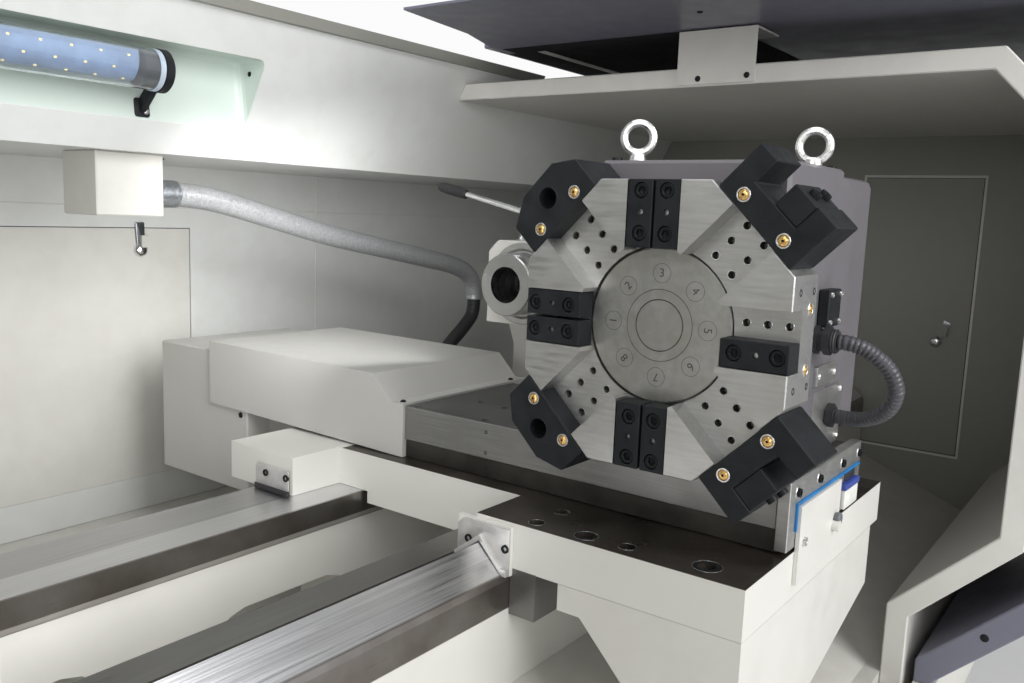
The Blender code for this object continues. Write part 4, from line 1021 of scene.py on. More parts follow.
    def figure(self, number: int, angle: float) -> None:
        """One station number, its foot towards the hub's centre."""
        name = "station_number_%d" % number
        curve = bpy.data.curves.new(name, "FONT")
        curve.body = str(number)
        curve.size = self.number_size
        curve.extrude = 0.00012
        curve.align_x = curve.align_y = "CENTER"
        carrier = bpy.data.objects.new("figure", curve)
        bpy.context.scene.collection.objects.link(carrier)
        bpy.context.view_layer.update()
        solid = carrier.evaluated_get(bpy.context.evaluated_depsgraph_get())
        mesh = bpy.data.meshes.new_from_object(solid)
        bpy.data.objects.remove(carrier)
        mesh.materials.clear()
        out = outwards(angle)
        centre = TURRET + np.array((self.hub_face, self.number_r * out[1], self.number_r * out[2]))
        mesh.transform(placement(np.cross(out, LEFTWARDS), out, LEFTWARDS, centre))
        seat_mesh(mesh, name, MARK, Body.TURRET)

    def flats(self) -> None:
        """Plugs in the unused screw holes of the four open flats."""
        plugs = Shape()
        for angle in (UP, FRONT, DOWN, REAR):
            plugs.each(set_screw(0.0042, 0.0021), facing(outwards(angle), [
                (x, *at(angle, self.flat + 0.0003, t)) for x in (0.020, 0.060)
                for t in (-0.050, 0.050)]))
        plugs.write("flat_plug_screws", SCREW_BLACK, Body.TURRET)

    def holders(self) -> None:
        """Clamp screws of the tool holders and the black rings at the mouths of the boring bores.

        The boring holders' screws stand square on their chamfers, which rise from a shoulder
        towards the middle.
        """
        screws, sets, mouths = Shape(), Shape(), Shape()
        for angle, low, high in ((FRONT_UP, -0.0297, 0.0026), (FRONT_DOWN, -0.0065, 0.0317)):
            out = outwards(angle)
            for x in (0.020, 0.050):
                screws.add(cap_screw(0.0062, 0.006, 0.0030, 0.0034),
                           Seat((x, *at(angle, 0.2248, (low + high) / 2)), out))
                sets.each(set_screw(0.0052, 0.0026), facing(out, [
                    (x, *at(angle, 0.2208, t)) for t in (-0.0445, 0.0455)]))
        shoulder, climb, lean = 0.2002, 0.0195, 0.54
        for angle, sign in ((REAR_UP, -1), (REAR_DOWN, 1)):
            mouths.add(washer(0.0122, 0.0140, -0.0012, 0.0003, 40),
                       Seat((0.0, *at(angle, self.bore_r, 0)), LEFTWARDS), loop=True)
            for x in (0.018, 0.054):
                for t, share, tilt in ((-0.042, (0.057 - 0.042) / (0.057 - 0.024), -lean),
                                       (0.043, (0.057 - 0.043) / (0.057 - 0.030), lean)):
                    place = at(angle, shoulder + share * climb, sign * t)
                    out = (0.0, *at(angle, 1.0, sign * tilt))
                    screws.add(set_screw(0.0048, 0.0024), Seat((x, *place), out))
        screws.write("holder_clamp_screws", SCREW_BLACK, Body.TURRET)
        sets.write("holder_set_screws", SCREW_BLACK, Body.TURRET)
        mouths.write("boring_bore_mouths", BLACK, Body.TURRET)


@dataclass
class CrossSlide:
    """Fittings on the slide: screws, blue seal, conduit, sensor and housing details."""

    plate_face: float = -0.1446
    top: float = -0.171
    housing_side: float = -0.1142
    lid_face: float = 0.4148
    gland: tuple[float, float] = (0.207, -0.018)
    conduit_r: float = 0.0095
    route: Route = (
        (0.207, -0.1464, -0.018), (0.207, -0.157, -0.018), (0.214, -0.178, -0.025),
        (0.226, -0.201, -0.046), (0.238, -0.209, -0.074), (0.250, -0.197, -0.101),
        (0.264, -0.170, -0.117), (0.277, -0.143, -0.122), (0.2825, -0.127, -0.1225),
        (0.2825, -0.1145, -0.1225))

    def build(self) -> None:
        """Builds every piece of the slide."""
        self.conduit()
        self.end_plate()
        self.screws()
        self.housing()

    def conduit(self) -> None:
        """Corrugated conduit: the tube's radius swings between crest and root along its length."""
        line = smooth(self.route, 28)
        path = spaced(line, 260)
        wave = np.abs(np.sin(np.linspace(0.0, 40 * np.pi, len(path)))) ** 0.7
        piece = Shape().add(swept(path, self.conduit_r - 0.0014 * (1 - wave), 20)).write(
            "corrugated_conduit", HOSE, Body.SLIDE, 60.0, "mat_sensor_conduit")
        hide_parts("sensor_conduit")
        nut = Shape()
        x, z = self.gland
        for y, tall in ((-0.1184, 0.006), (-0.1300, 0.009)):
            nut.add(turned([(0.0105, 0), (0.0150, 0, 1), (0.0150, tall, 1), (0.0105, tall)], 36),
                    Seat((x, y, z), FRONTWARDS), loop=True)
        ribs = [(0.0142 + 0.0006 * (k % 2), 0.0004 + 0.0016 * k) for k in range(6)]
        nut.add(turned([(0.0136, 0.0), *ribs, (0.0136, 0.0095)], 36),
                Seat((x, -0.1355, z), FRONTWARDS), loop=True)
        nut.write("conduit_gland_nuts", RUBBER, Body.SLIDE)
        end = turned([(0.0099, 0), (0.0135, 0, 1), (0.0135, 0.008, 1), (0.0099, 0.008)], 36)
        Shape().add(end, Seat((0.2825, -0.1192, -0.1225), FRONTWARDS), loop=True).write(
            "conduit_end_nut", RUBBER, Body.SLIDE)

    def end_plate(self) -> None:
        """Blue wiper strip, its blue cap and white block, dark patches of painted shade in the
        gaps, and four screws of the end plate.
        """
        y = self.plate_face
        front, sunk = on_front(y), -0.0002
        strip = [(0.1092, -0.1928), (0.1092, -0.2262), (0.1126, -0.2262), (0.1126, -0.1962),
                 (0.3500, -0.1962), (0.3500, -0.1928)]
        for name, finish, grid in (
                ("blue_wiper_seal", SEAL_BLUE, slab(np.array(strip), sunk, 0.0024, 0.0004, 1)),
                ("blue_wiper_cap", CAP_BLUE,
                 plate((0.276, -0.2165), (0.336, -0.2075), 0.003, sunk, 0.008, 0.002)),
                ("wiper_backing_block", IVORY,
                 plate((0.280, -0.2420), (0.336, -0.2168), 0.002, sunk, 0.006))):
            Shape().add(grid, front).write(name, finish, Body.SLIDE)
        # Dark patches over the gaps above the cap and beside the block: painted shade.
        gap = Shape()
        for low, high in (((0.290, -0.2070), (0.334, -0.1970)),
                          ((0.2742, -0.2400), (0.2794, -0.2185))):
            gap.add(plate(low, high, 0.001, sunk, 0.0007, 0.0003, 1), front)
        gap.write("wiper_gap_painted_shade", RUBBER, Body.SLIDE)
        places = [(x, -0.1801) for x in (0.1108, 0.1849, 0.2754, 0.3462)]
        Shape().each(cap_screw(0.0051, 0.0055, 0.0026, 0.0030),
                     facing(FRONTWARDS, [(x, y - 0.0042, z) for x, z in places])).write(
            "end_plate_screws", SCREW_BLACK, Body.SLIDE)
        Shape().each(washer(0.0045, 0.0073, -0.0001, 0.0009),
                     facing(FRONTWARDS, [(x, y, z) for x, z in places]), loop=True).write(
            "end_plate_washers", PLATED, Body.SLIDE)

    def screws(self) -> None:
        """Screws in the slide's top and side, and in its rear cover."""
        Shape().each(cap_screw(0.0043, 0.005, 0.0020, 0.003), facing(UPWARDS, [
            (x, y, self.top - 0.003)
            for x, y in ((0.098, 0.421), (0.194, 0.378), (0.104, 0.298), (0.187, 0.326))])).write(
            "slide_top_screws", SCREW_BLACK, Body.SLIDE)
        Shape().each(set_screw(0.0026, 0.0013), facing(LEFTWARDS, [
            (x, 0.2857, z)
            for x, z in ((0.0898, -0.1840), (0.0898, -0.2136), (0.0928, -0.2363))])).write(
            "slide_side_screws", SCREW_BLACK, Body.SLIDE)
        Shape().each(dome(0.0047, 0.0034), facing(UPWARDS, [
            (0.0985, 0.4520, -0.1680), (0.3660, 0.4505, -0.1680)])).write(
            "hood_lip_screws", SCREW_BLACK, Body.SLIDE)

    def housing(self) -> None:
        """Side plates, sensor screws, cap screws and ribbed lid of the housing."""
        side = on_front(self.housing_side)
        Shape().add(plate((0.214, -0.078), (0.288, -0.052), 0.003, 0.0, 0.009), side).add(
            plate((0.222, -0.166), (0.338, -0.086), 0.006, 0.0, 0.004), side).write(
            "housing_side_plates", FACE_STEEL, Body.SLIDE)
        low, high = self.housing_side - 0.004, self.housing_side - 0.009
        screws = Shape().each(dome(0.0048, 0.0028), facing(FRONTWARDS, [
            (0.230, low, -0.158), (0.330, low, -0.094), (0.330, low, -0.158),
            (0.222, high, -0.065), (0.280, high, -0.065)]))
        screws.each(cap_screw(0.0034, 0.004, 0.0016, 0.002), facing(FRONTWARDS, [
            (x, -0.1345, z) for x in (0.213, 0.247) for z in (0.003, 0.036)]))
        screws.write("housing_side_screws", PLATED, Body.SLIDE)
        caps = Shape().each(cap_screw(0.0065, 0.005, 0.0032, 0.003), facing(UPWARDS, [
            (x, y, 0.1898) for x in (0.098, 0.258) for y in (-0.104, 0.104)]))
        caps.each(cap_screw(0.0080, 0.008, 0.0040, 0.004), facing(RIGHTWARDS, [
            (0.4228, y, z) for y in (-0.090, 0.080) for z in (-0.120, 0.140)]))
        caps.write("housing_cap_screws", SCREW_BLACK, Body.SLIDE)
        lid = Shape().add(plate((-0.098, -0.112), (0.088, 0.130), 0.010, 0.0, 0.006, 0.0015),
                          on_right(self.lid_face))
        for z in np.linspace(-0.080, 0.090, 9):
            lid.add(plate((-0.070, z - 0.004), (0.060, z + 0.004), 0.003, 0.0, 0.0035),
                    on_right(self.lid_face + 0.0058))
        lid.write("gear_housing_lid", HOUSING_PAINT, Body.SLIDE)


@dataclass
class Carriage:
    """Screws, wiper lips and covers that travel with the saddle."""

    top: float = -0.250
    wiper_face: float = -0.0343
    holes: tuple[Vector3, ...] = (
        (-0.008, 0.127, 0.0), (-0.006, 0.058, 0.0042), (-0.004, 0.005, 0.0),
        (0.004, -0.089, 0.0062), (0.045, 0.126, 0.0))
    far_holes: tuple[tuple[float, float], ...] = ((0.450, 0.100), (0.450, -0.080))

    def build(self) -> None:
        """Builds every piece of the carriage."""
        self.screws()
        self.wipers()

    def screws(self) -> None:
        """Cap screws sunk in the saddle's top, and small ones on its covers."""
        places = [hole[:2] for hole in self.holes] + list(self.far_holes)
        Shape().each(cap_screw(0.0082, 0.009, 0.0040, 0.005), facing(UPWARDS, [
            (x, y, self.top - 0.0048) for x, y in places])).write(
            "saddle_sunk_screws", SCREW_BLACK, Body.CARRIAGE)
        rims, seats = Shape(), Shape()
        for x, y, wide in self.holes:
            seat = Seat((x, y, self.top))
            rims.add(washer(0.0099 + wide, 0.0106 + wide, -0.0002, 0.0002, 40), seat, loop=True)
            # Black rings flush across the mouths of the wider holes: painted shade of the holes.
            if wide:
                seats.add(washer(0.0097, 0.0100 + wide, -0.0002, 0.00012, 40), seat, loop=True)
        knob = turned([(0, 0), (0.0072, 0), (0.0082, 0.002), (0.0082, 0.006), (0.0070, 0.0074),
                       (0, 0.0078)], 24)
        rims.write("saddle_hole_rims", BRIGHT_STEEL, Body.CARRIAGE)
        seats.write("saddle_hole_painted_shade", SCREW_BLACK, Body.CARRIAGE)
        for name, finish, grid, seat in (
                ("motor_cover_screw", SCREW_BLACK, dome(0.0052, 0.0030),
                 Seat((0.0919, 0.8366, -0.2514), LEFTWARDS)),
                ("cover_plate_screw", PLATED, cap_screw(0.0052, 0.004, 0.0027, 0.0026),
                 Seat((0.1290, -0.1535, -0.2410), FRONTWARDS)),
                ("cover_plate_knob", KEY_GREY, knob, Seat((0.2455, -0.1502, -0.2436), FRONTWARDS)),
                ("cover_plate_slot", RUBBER,
                 plate((0.2600, -0.2700), (0.2690, -0.2588), 0.0044, 0.0, 0.0008, 0.0003),
                 on_front(-0.1450))):
            Shape().add(grid, seat).write(name, finish, Body.CARRIAGE)

    def wipers(self) -> None:
        """Folded plates and rubber lips that ride on the bed's ways.

        Each lip is the way's own outline drawn upwards by its thickness and pushed along X.
        """
        seat = on_right(self.wiper_face)
        vee = [(0.1463, -0.3090), (0.1540, -0.3090), (0.1878, -0.2720), (0.2230, -0.3000),
               (0.2268, -0.3000), (0.2268, -0.2660), (0.2160, -0.2568), (0.1463, -0.2568)]
        lip = [(0.1463, -0.3150), (0.1525, -0.3150), (0.1880, -0.2788), (0.2268, -0.3085),
               (0.2268, -0.3005), (0.1878, -0.2706), (0.1550, -0.3060), (0.1463, -0.3060)]
        face = Shape().add(slab(rounded(vee, 0.002, 2), -0.0022, 0.0, 0.0008), seat)
        face.add(slab(np.array(lip), -0.0085, 0.0, 0.0012), seat)
        face.write("front_wiper_plate", WIPER_STEEL, Body.CARRIAGE, 40.0)
        back = plate((0.552, -0.3000), (0.6270, -0.2690), 0.004, -0.0022, 0.0, 0.0008)
        Shape().add(back, seat).write("rear_wiper_plate", WIPER_STEEL, Body.CARRIAGE, 40.0)
        rubber = slab(rectangle((0.551, -0.3072), (0.6280, -0.2996)), -0.0048, 0.0, 0.0012)
        Shape().add(rubber, seat).write("rear_wiper_lip", RUBBER, Body.CARRIAGE)
        Shape().each(cap_screw(0.0052, 0.004, 0.0026, 0.0026), facing(LEFTWARDS, [
            (self.wiper_face - 0.0045, y, z)
            for y, z in ((0.2085, -0.2821), (0.1517, -0.2820), (0.6026, -0.2801),
                         (0.5566, -0.2797))])).write("wiper_screws", SCREW_BLACK, Body.CARRIAGE)


@dataclass
class Tailstock:
    """Quill nose, clamp lever, scale and screws of the tailstock."""

    axis_y: float = 0.435
    quill_r: float = 0.0520
    screw_circle: float = 0.0640
    scale_start: float = 0.330
    lever: Vector3 = (0.425, 0.470, 0.072)

    def build(self) -> None:
        """Builds every piece of the tailstock."""
        ring = turned([(0.0526, 0.0), (0.0690, 0.0), (0.0700, 0.001), (0.0700, 0.008),
                       (0.0680, 0.010), (0.0600, 0.010), (0.0560, 0.006), (0.0526, 0.006)], 64)
        Shape().add(ring, Seat((0.3748, self.axis_y, 0.0), LEFTWARDS), loop=True).write(
            "quill_wiper_ring", FACE_STEEL, Body.TAILSTOCK)
        turns = [(k + 0.5) * math.pi / 2 for k in range(4)]
        heads = Shape().each(cap_screw(0.0032, 0.003, 0.0015, 0.002), facing(LEFTWARDS, [
            (0.3636, self.axis_y + self.screw_circle * math.cos(a), self.screw_circle * math.sin(a))
            for a in turns]))
        heads.each(cap_screw(0.0085, 0.010, 0.0042, 0.005), facing(UPWARDS, [
            (x, y, -0.2400) for x in (0.540, 0.840) for y in (0.285, 0.525)]))
        heads.write("tailstock_screws", SCREW_BLACK, Body.TAILSTOCK)
        ticks = Shape()
        for k in range(9):
            x, tall = self.scale_start + 0.005 * k, 0.0045 if k % 5 else 0.0075
            ticks.add(slab(rectangle((x - 0.00015, -tall), (x + 0.00015, tall)), -0.0002, 0.00004,
                           0.00002, 1), on_front(self.axis_y - self.quill_r))
        ticks.write("quill_scale", MARK, Body.QUILL)
        self.clamp()

    def clamp(self) -> None:
        """Clamp lever: turned boss, slim chrome arm and a black grip with a bright end."""
        x, y, z = self.lever
        boss = Shape().add(turned([
            (0, 0.0003), (0.0150, 0.0003), (0.0155, 0.002), (0.0130, 0.010), (0.0125, 0.040),
            (0.0150, 0.046), (0.0150, 0.056), (0.0120, 0.060), (0, 0.061)], 32), Seat((x, y, z)))
        start, end = np.array((x, y + 0.004, 0.1205)), np.array((x, y + 0.142, 0.1502))
        share = np.linspace(0.0, 1.0, 12)[:, None]
        boss.add(swept(start + (end - start) * share, 0.0062 - 0.0008 * share[:, 0], 16))
        piece = boss.write("clamp_lever_arm", CHROME, Body.CLAMP_LEVER, slot="mat_clamp_lever")
        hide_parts("clamp_lever")
        t = np.linspace(0.0, 1.0, 14)
        line = end + (np.array((x, y + 0.2045, 0.1638)) - end) * t[:, None]
        swell = 0.0086 + 0.0014 * np.sin(np.pi * t) - 0.0012 * (t > 0.97)
        Shape().add(swept(line, swell, 20)).write("clamp_lever_grip", RUBBER, Body.CLAMP_LEVER)
        Shape().add(dome(0.0062, 0.003), Seat(tuple(line[-1]), (0.0, 0.977, 0.213))).write(
            "clamp_lever_tip", PLATED, Body.CLAMP_LEVER)


@dataclass
class Lamp:
    """Work lamp: a clear tube with a board of diodes, dark end caps and screwed feet."""

    centre: tuple[float, float] = (0.750, 0.302)
    radius: float = 0.0285
    start: float = -0.690
    end: float = -0.100
    out: Vector3 = (0.0, -0.8782, -0.4783)
    foot_tip: Vector3 = (0.0, 0.8035, 0.2530)
    back_out: Vector3 = (0.0, -0.9926, 0.1213)
    back_up: Vector3 = (0.0, 0.1213, 0.9926)

    def build(self) -> None:
        """Builds the lamp and lets it stand for its plain solid."""
        self.tube()
        self.board()
        self.ends()
        self.feet()

    def tube(self) -> None:
        """Clear tube, a thin wall turned about X."""
        r, long = self.radius, self.end - self.start
        wall = turned([(r - 0.002, 0.0), (r, 0.0), (r, long), (r - 0.002, long)], 48)
        glass = Shape().add(wall, Seat((self.start, *self.centre), RIGHTWARDS), loop=True).write(
            "lamp_glass_tube", TUBE_GLASS, Body.MACHINE, slot="mat_lamp")
        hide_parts("lamp")

    def board(self) -> None:
        """Bent board behind the glass, with three staggered rows of diodes.

        The board's cross section is the arc inner * (sin a, -0.75 cos a), and a diode stands on
        it at its row's own angle a.
        """
        y, z = self.centre
        u = np.asarray(self.out)
        v = np.cross((1.0, 0.0, 0.0), u)
        inner, sag = self.radius - 0.0035, 0.010
        a = np.linspace(-1.35, 1.35, 15)
        arc = np.stack((inner * np.sin(a), sag - inner * np.cos(a) * 0.75), axis=1)
        shell = np.concatenate((arc, arc[::-1] * (0.93, 1.0) + (0.0, 0.003)))
        ring = shell[:, :1] * v[None] - shell[:, 1:] * u[None]
        rings = np.stack([ring + np.array((x, y, z))
                          for x in (self.start + 0.040, self.end - 0.036)])
        Shape().add(rings).write("lamp_diode_board", STRIP, Body.MACHINE, 50.0)
        diodes = Shape()
        chip = plate((-0.0019, -0.0014), (0.0019, 0.0014), 0.0005, 0.0, 0.0011, 0.0003, 1, 2)
        for k in range(13):
            for row, turn in enumerate((-0.75, 0.0, 0.75)):
                x = self.end - 0.062 - 0.0400 * k - 0.0200 * (row % 2)
                place = np.array((x, y, z)) + v * inner * math.sin(turn) - u * (
                    sag - 0.0003 - inner * math.cos(turn) * 0.75)
                out = u * math.cos(turn) + v * math.sin(turn)
                diodes.add(chip, Seat(tuple(place), tuple(out), RIGHTWARDS))
        diodes.write("lamp_diodes", DIODE, Body.MACHINE)

    def ends(self) -> None:
        """Dark end caps: a chamfered cap outside, a pale seal band, and a plug inside the glass."""
        r = self.radius
        caps, plugs, bands = Shape(), Shape(), Shape()
        for x, way in ((self.end + 0.004, LEFTWARDS), (self.start - 0.004, RIGHTWARDS)):
            seat = Seat((x, *self.centre), way, UPWARDS)
            caps.add(turned([(0, 0), (0.021, 0), (r + 0.0022, 0.006), (r + 0.0022, 0.017),
                             (r + 0.0004, 0.018), (0, 0.018)], 48), seat)
            plugs.add(turned([(0, 0.0181), (r - 0.0026, 0.0181), (r - 0.0026, 0.048),
                              (r - 0.006, 0.050), (0, 0.050)], 48), seat)
            bands.add(washer(r + 0.0001, r + 0.0010, 0.0190, 0.0270, 48), seat, loop=True)
        caps.write("lamp_end_caps", BLACK, Body.MACHINE)
        plugs.write("lamp_end_plugs", PLUG, Body.MACHINE)
        bands.write("lamp_seal_bands", BAND, Body.MACHINE)

    def feet(self) -> None:
        """Feet from the end caps back to the recess, each with a bright screw."""
        tip, middle = np.array(self.foot_tip), np.array((0.0, *self.centre))
        back, up = np.array(self.back_out), np.array(self.back_up)
        way = (tip - middle) / np.linalg.norm(tip - middle)
        side = np.array((0.0, -way[2], way[1])) * 0.009
        web = np.array((middle + way * 0.026 - side, tip - up * 0.011, tip + up * 0.011,
                        middle + way * 0.026 + side))
        foot = slab(rounded(web[:, 1:], 0.003, 2), -0.0045, 0.0045)
        pad = plate((-0.012, -0.014), (0.012, 0.014), 0.005, 0.0, 0.0030)
        sole, head = tip + back * 0.0001, tip + back * 0.0030 - up * 0.0055
        feet, screws = Shape(), Shape()
        for x in (self.start + 0.0105, self.end - 0.0055):
            feet.add(foot, on_right(x))
            feet.add(pad, Seat((x, *sole[1:]), self.back_out, RIGHTWARDS))
            screws.add(dome(0.0048, 0.0032), Seat((x + 0.0055, *head[1:]), self.back_out))
        feet.write("lamp_feet", BLACK, Body.MACHINE)
        screws.write("lamp_foot_screws", PLATED, Body.MACHINE)
        Shape().add(dome(0.0042, 0.0022), Seat((0.0750, 0.7857, 0.3262), LEFTWARDS)).write(
            "recess_end_screw", SCREW_BLACK, Body.MACHINE)


@dataclass
class Guards:
    """Cable duct, hose, junction box screws, latches, hinges and seams of the guards."""

    duct_y: float = 0.904
    duct_line: tuple[tuple[float, float], ...] = (
        (-0.0347, 0.129), (0.002, 0.129), (0.050, 0.1265), (0.108, 0.118), (0.230, 0.090),
        (0.352, 0.062), (0.500, 0.036), (0.650, 0.010), (0.725, -0.004), (0.780, -0.022),
        (0.808, -0.048), (0.818, -0.078), (0.818, -0.0898))
    hose_r: float = 0.016
    hose_route: Route = (
        (0.818, 0.904, -0.0903), (0.818, 0.904, -0.104), (0.810, 0.904, -0.130),
        (0.775, 0.903, -0.160), (0.715, 0.902, -0.205), (0.668, 0.900, -0.270),
        (0.640, 0.900, -0.360), (0.628, 0.900, -0.460), (0.625, 0.900, -0.550),
        (0.625, 0.900, -0.5686))
    rear_wall: float = 1.2500
    end_wall: float = 1.5003

    def build(self) -> None:
        """Builds the guards' fittings."""
        self.hose()
        self.duct()
        self.latches()
        self.seals()
        self.seams()

    def hose(self) -> None:
        """Ribbed hose from the duct's mouth down to the base."""
        line = smooth(self.hose_route, 36)
        path = spaced(line, 300)
        ribs = np.abs(np.sin(np.linspace(0.0, 74 * np.pi, len(path)))) ** 0.8
        piece = Shape().add(swept(path, self.hose_r - 0.0012 * (1 - ribs), 18)).write(
            "ribbed_cable_hose", RUBBER, Body.MACHINE, 60.0, "mat_cable_hose")
        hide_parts("cable_hose")

    def duct(self) -> None:
        """Flexible metal duct: a straight mouth, then fine ribs along a bent line."""
        path = spaced(smooth([(x, self.duct_y, z) for x, z in self.duct_line], 60), 560)
        rib = 0.0006 * (1 - np.abs(np.sin(np.linspace(0.0, 190 * np.pi, len(path)))))
        plain = np.clip((path[:, 0] - 0.018) / 0.004, 0.0, 1.0)
        piece = Shape().add(swept(path, 0.0205 - rib * plain, 20)).write(
            "flexible_metal_duct", GALVANISED, Body.MACHINE, 60.0, "mat_cable_duct")
        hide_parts("cable_duct")
        sleeve = turned([(0.0207, 0), (0.0228, 0), (0.0228, 0.046), (0.0207, 0.048)], 40)
        Shape().add(sleeve, Seat((-0.0345, self.duct_y, 0.1290), RIGHTWARDS), loop=True).write(
            "duct_collar", COLLAR, Body.MACHINE)
        Shape().each(dome(0.0055, 0.0034), facing(DOWNWARDS, [
            (x, 0.975, 0.1900) for x in (-0.117, 0.033)])).write(
            "junction_box_screws", SCREW_BLACK, Body.MACHINE)

    def latches(self) -> None:
        """Quarter-turn latches of the two access doors, inside and out, and hinge pins."""
        barrel = turned([(0, 0), (0.0145, 0), (0.0145, 0.004), (0.0130, 0.008), (0.0085, 0.0115),
                         (0, 0.0130)], 32)
        blade = ((-0.0080, 0.006), (0.0080, 0.006), (0.0098, 0.056), (-0.0098, 0.056))
        wing = slab(rounded(blade, 0.003), 0.0, 0.0040)
        for name, body, inside, outside, way, along in (
                ("rear", Body.REAR_ACCESS, (0.1534, 1.2503, 0.0166), (0.1534, 1.2558, 0.0166),
                 FRONTWARDS, (1, 0, 0.04)),
                ("right", Body.RIGHT_ACCESS, (1.5008, -0.0040, -0.1530),
                 (1.5042, -0.0040, -0.1530), LEFTWARDS, (0, -0.917, -0.4))):
            back = tuple(-c for c in way)
            Shape().add(barrel, Seat(inside, way, along)).add(
                barrel * (1.0, 1.0, 0.5), Seat(outside, back, along)).write(
                name + "_latch_barrel", CHROME, body)
            lift = np.array(inside) + 0.0030 * np.array(way)
            Shape().add(wing, Seat(tuple(lift), way, along)).write(
                name + "_latch_wing", LATCH, body)
        pin = turned([(0, -0.030), (0.0052, -0.030), (0.0052, 0.030), (0, 0.030)], 20)
        Shape().each(pin, facing(RIGHTWARDS, [(x, 1.2612, -0.466) for x in (-0.220, 0.200)])).each(
            pin, facing(UPWARDS, [(1.5097, 0.198, z) for z in (-0.330, 0.140)])).write(
            "access_hinge_pins", PLATED, Body.MACHINE)

    def seals(self) -> None:
        """Dark strips of painted shade in the gaps round both access doors, and the end door's
        folded rim.

        Each is a closed frame of four strips between an inner and an outer rectangle.
        """
        rear, end = on_front(1.2555), Seat((1.5040, 0, 0), LEFTWARDS, REARWARDS)
        # The dark strips stand in for the shade in the door gaps: painted shade.
        dark, rim = Shape(), Shape()
        for seat, strips in (
                (rear, ((-0.2938, -0.4610, -0.2922, 0.0618), (0.2682, -0.4610, 0.2698, 0.0618),
                        (-0.2921, 0.0602, 0.2681, 0.0618), (-0.2921, -0.46195, 0.2681, -0.46165))),
                (end, ((-0.0738, -0.2418, -0.0722, 0.4298), (-0.0721, -0.2418, 0.1936, -0.2402),
                       (-0.0721, 0.4282, 0.1936, 0.4298), (0.19365, -0.2400, 0.19395, 0.4280)))):
            for strip in strips:
                dark.add(slab(rectangle(strip[:2], strip[2:]), 0.0, 0.0030, 0.0001, 1), seat)
        near = Seat((self.end_wall, 0, 0), LEFTWARDS, REARWARDS)
        for strip in ((-0.0800, -0.2480, -0.0745, 0.4360), (0.1945, -0.2480, 0.2000, 0.4360),
                      (-0.0744, -0.2480, 0.1944, -0.2425), (-0.0744, 0.4305, 0.1944, 0.4360)):
            rim.add(slab(rectangle(strip[:2], strip[2:]), 0.0, 0.0016, 0.0006, 2), near)
        dark.write("access_door_gap_shade", RUBBER, Body.MACHINE)
        rim.write("end_door_rim", ENAMEL, Body.MACHINE)

    def seams(self) -> None:
        """Screws of the door-rail bracket, folded seams of the guards, and the roof's hem in
        painted shade.
        """
        Shape().each(dome(0.0050, 0.0030), facing(LEFTWARDS, [
            (0.5467, 0.2197, 0.3521), (0.5467, 0.1343, 0.3534)])).write(
            "rail_bracket_screws", SCREW_BLACK, Body.MACHINE)
        folds = Shape()
        for strip in ((-0.5614, -0.440, -0.5586, 0.185), (0.6186, -0.440, 0.6214, 0.185),
                      (-0.800, 0.1030, 1.490, 0.1056)):
            folds.add(slab(rectangle(strip[:2], strip[2:]), 0.0, 0.0016, 0.0005, 1),
                      on_front(self.rear_wall))
        folds.write("rear_wall_folds", ENAMEL, Body.MACHINE)
        # The hem is coloured dark as painted shade under the roof sheet.
        lip = np.array(((0.7112, 0.4010), (0.7045, 0.4168), (0.6918, 0.4172), (0.7000, 0.4010)))
        Shape().add(slab(lip, -0.795, 0.780, 0.0006), on_right(0)).write(
            "roof_opening_hem", PAINTED_SHADE_ENAMEL, Body.MACHINE)


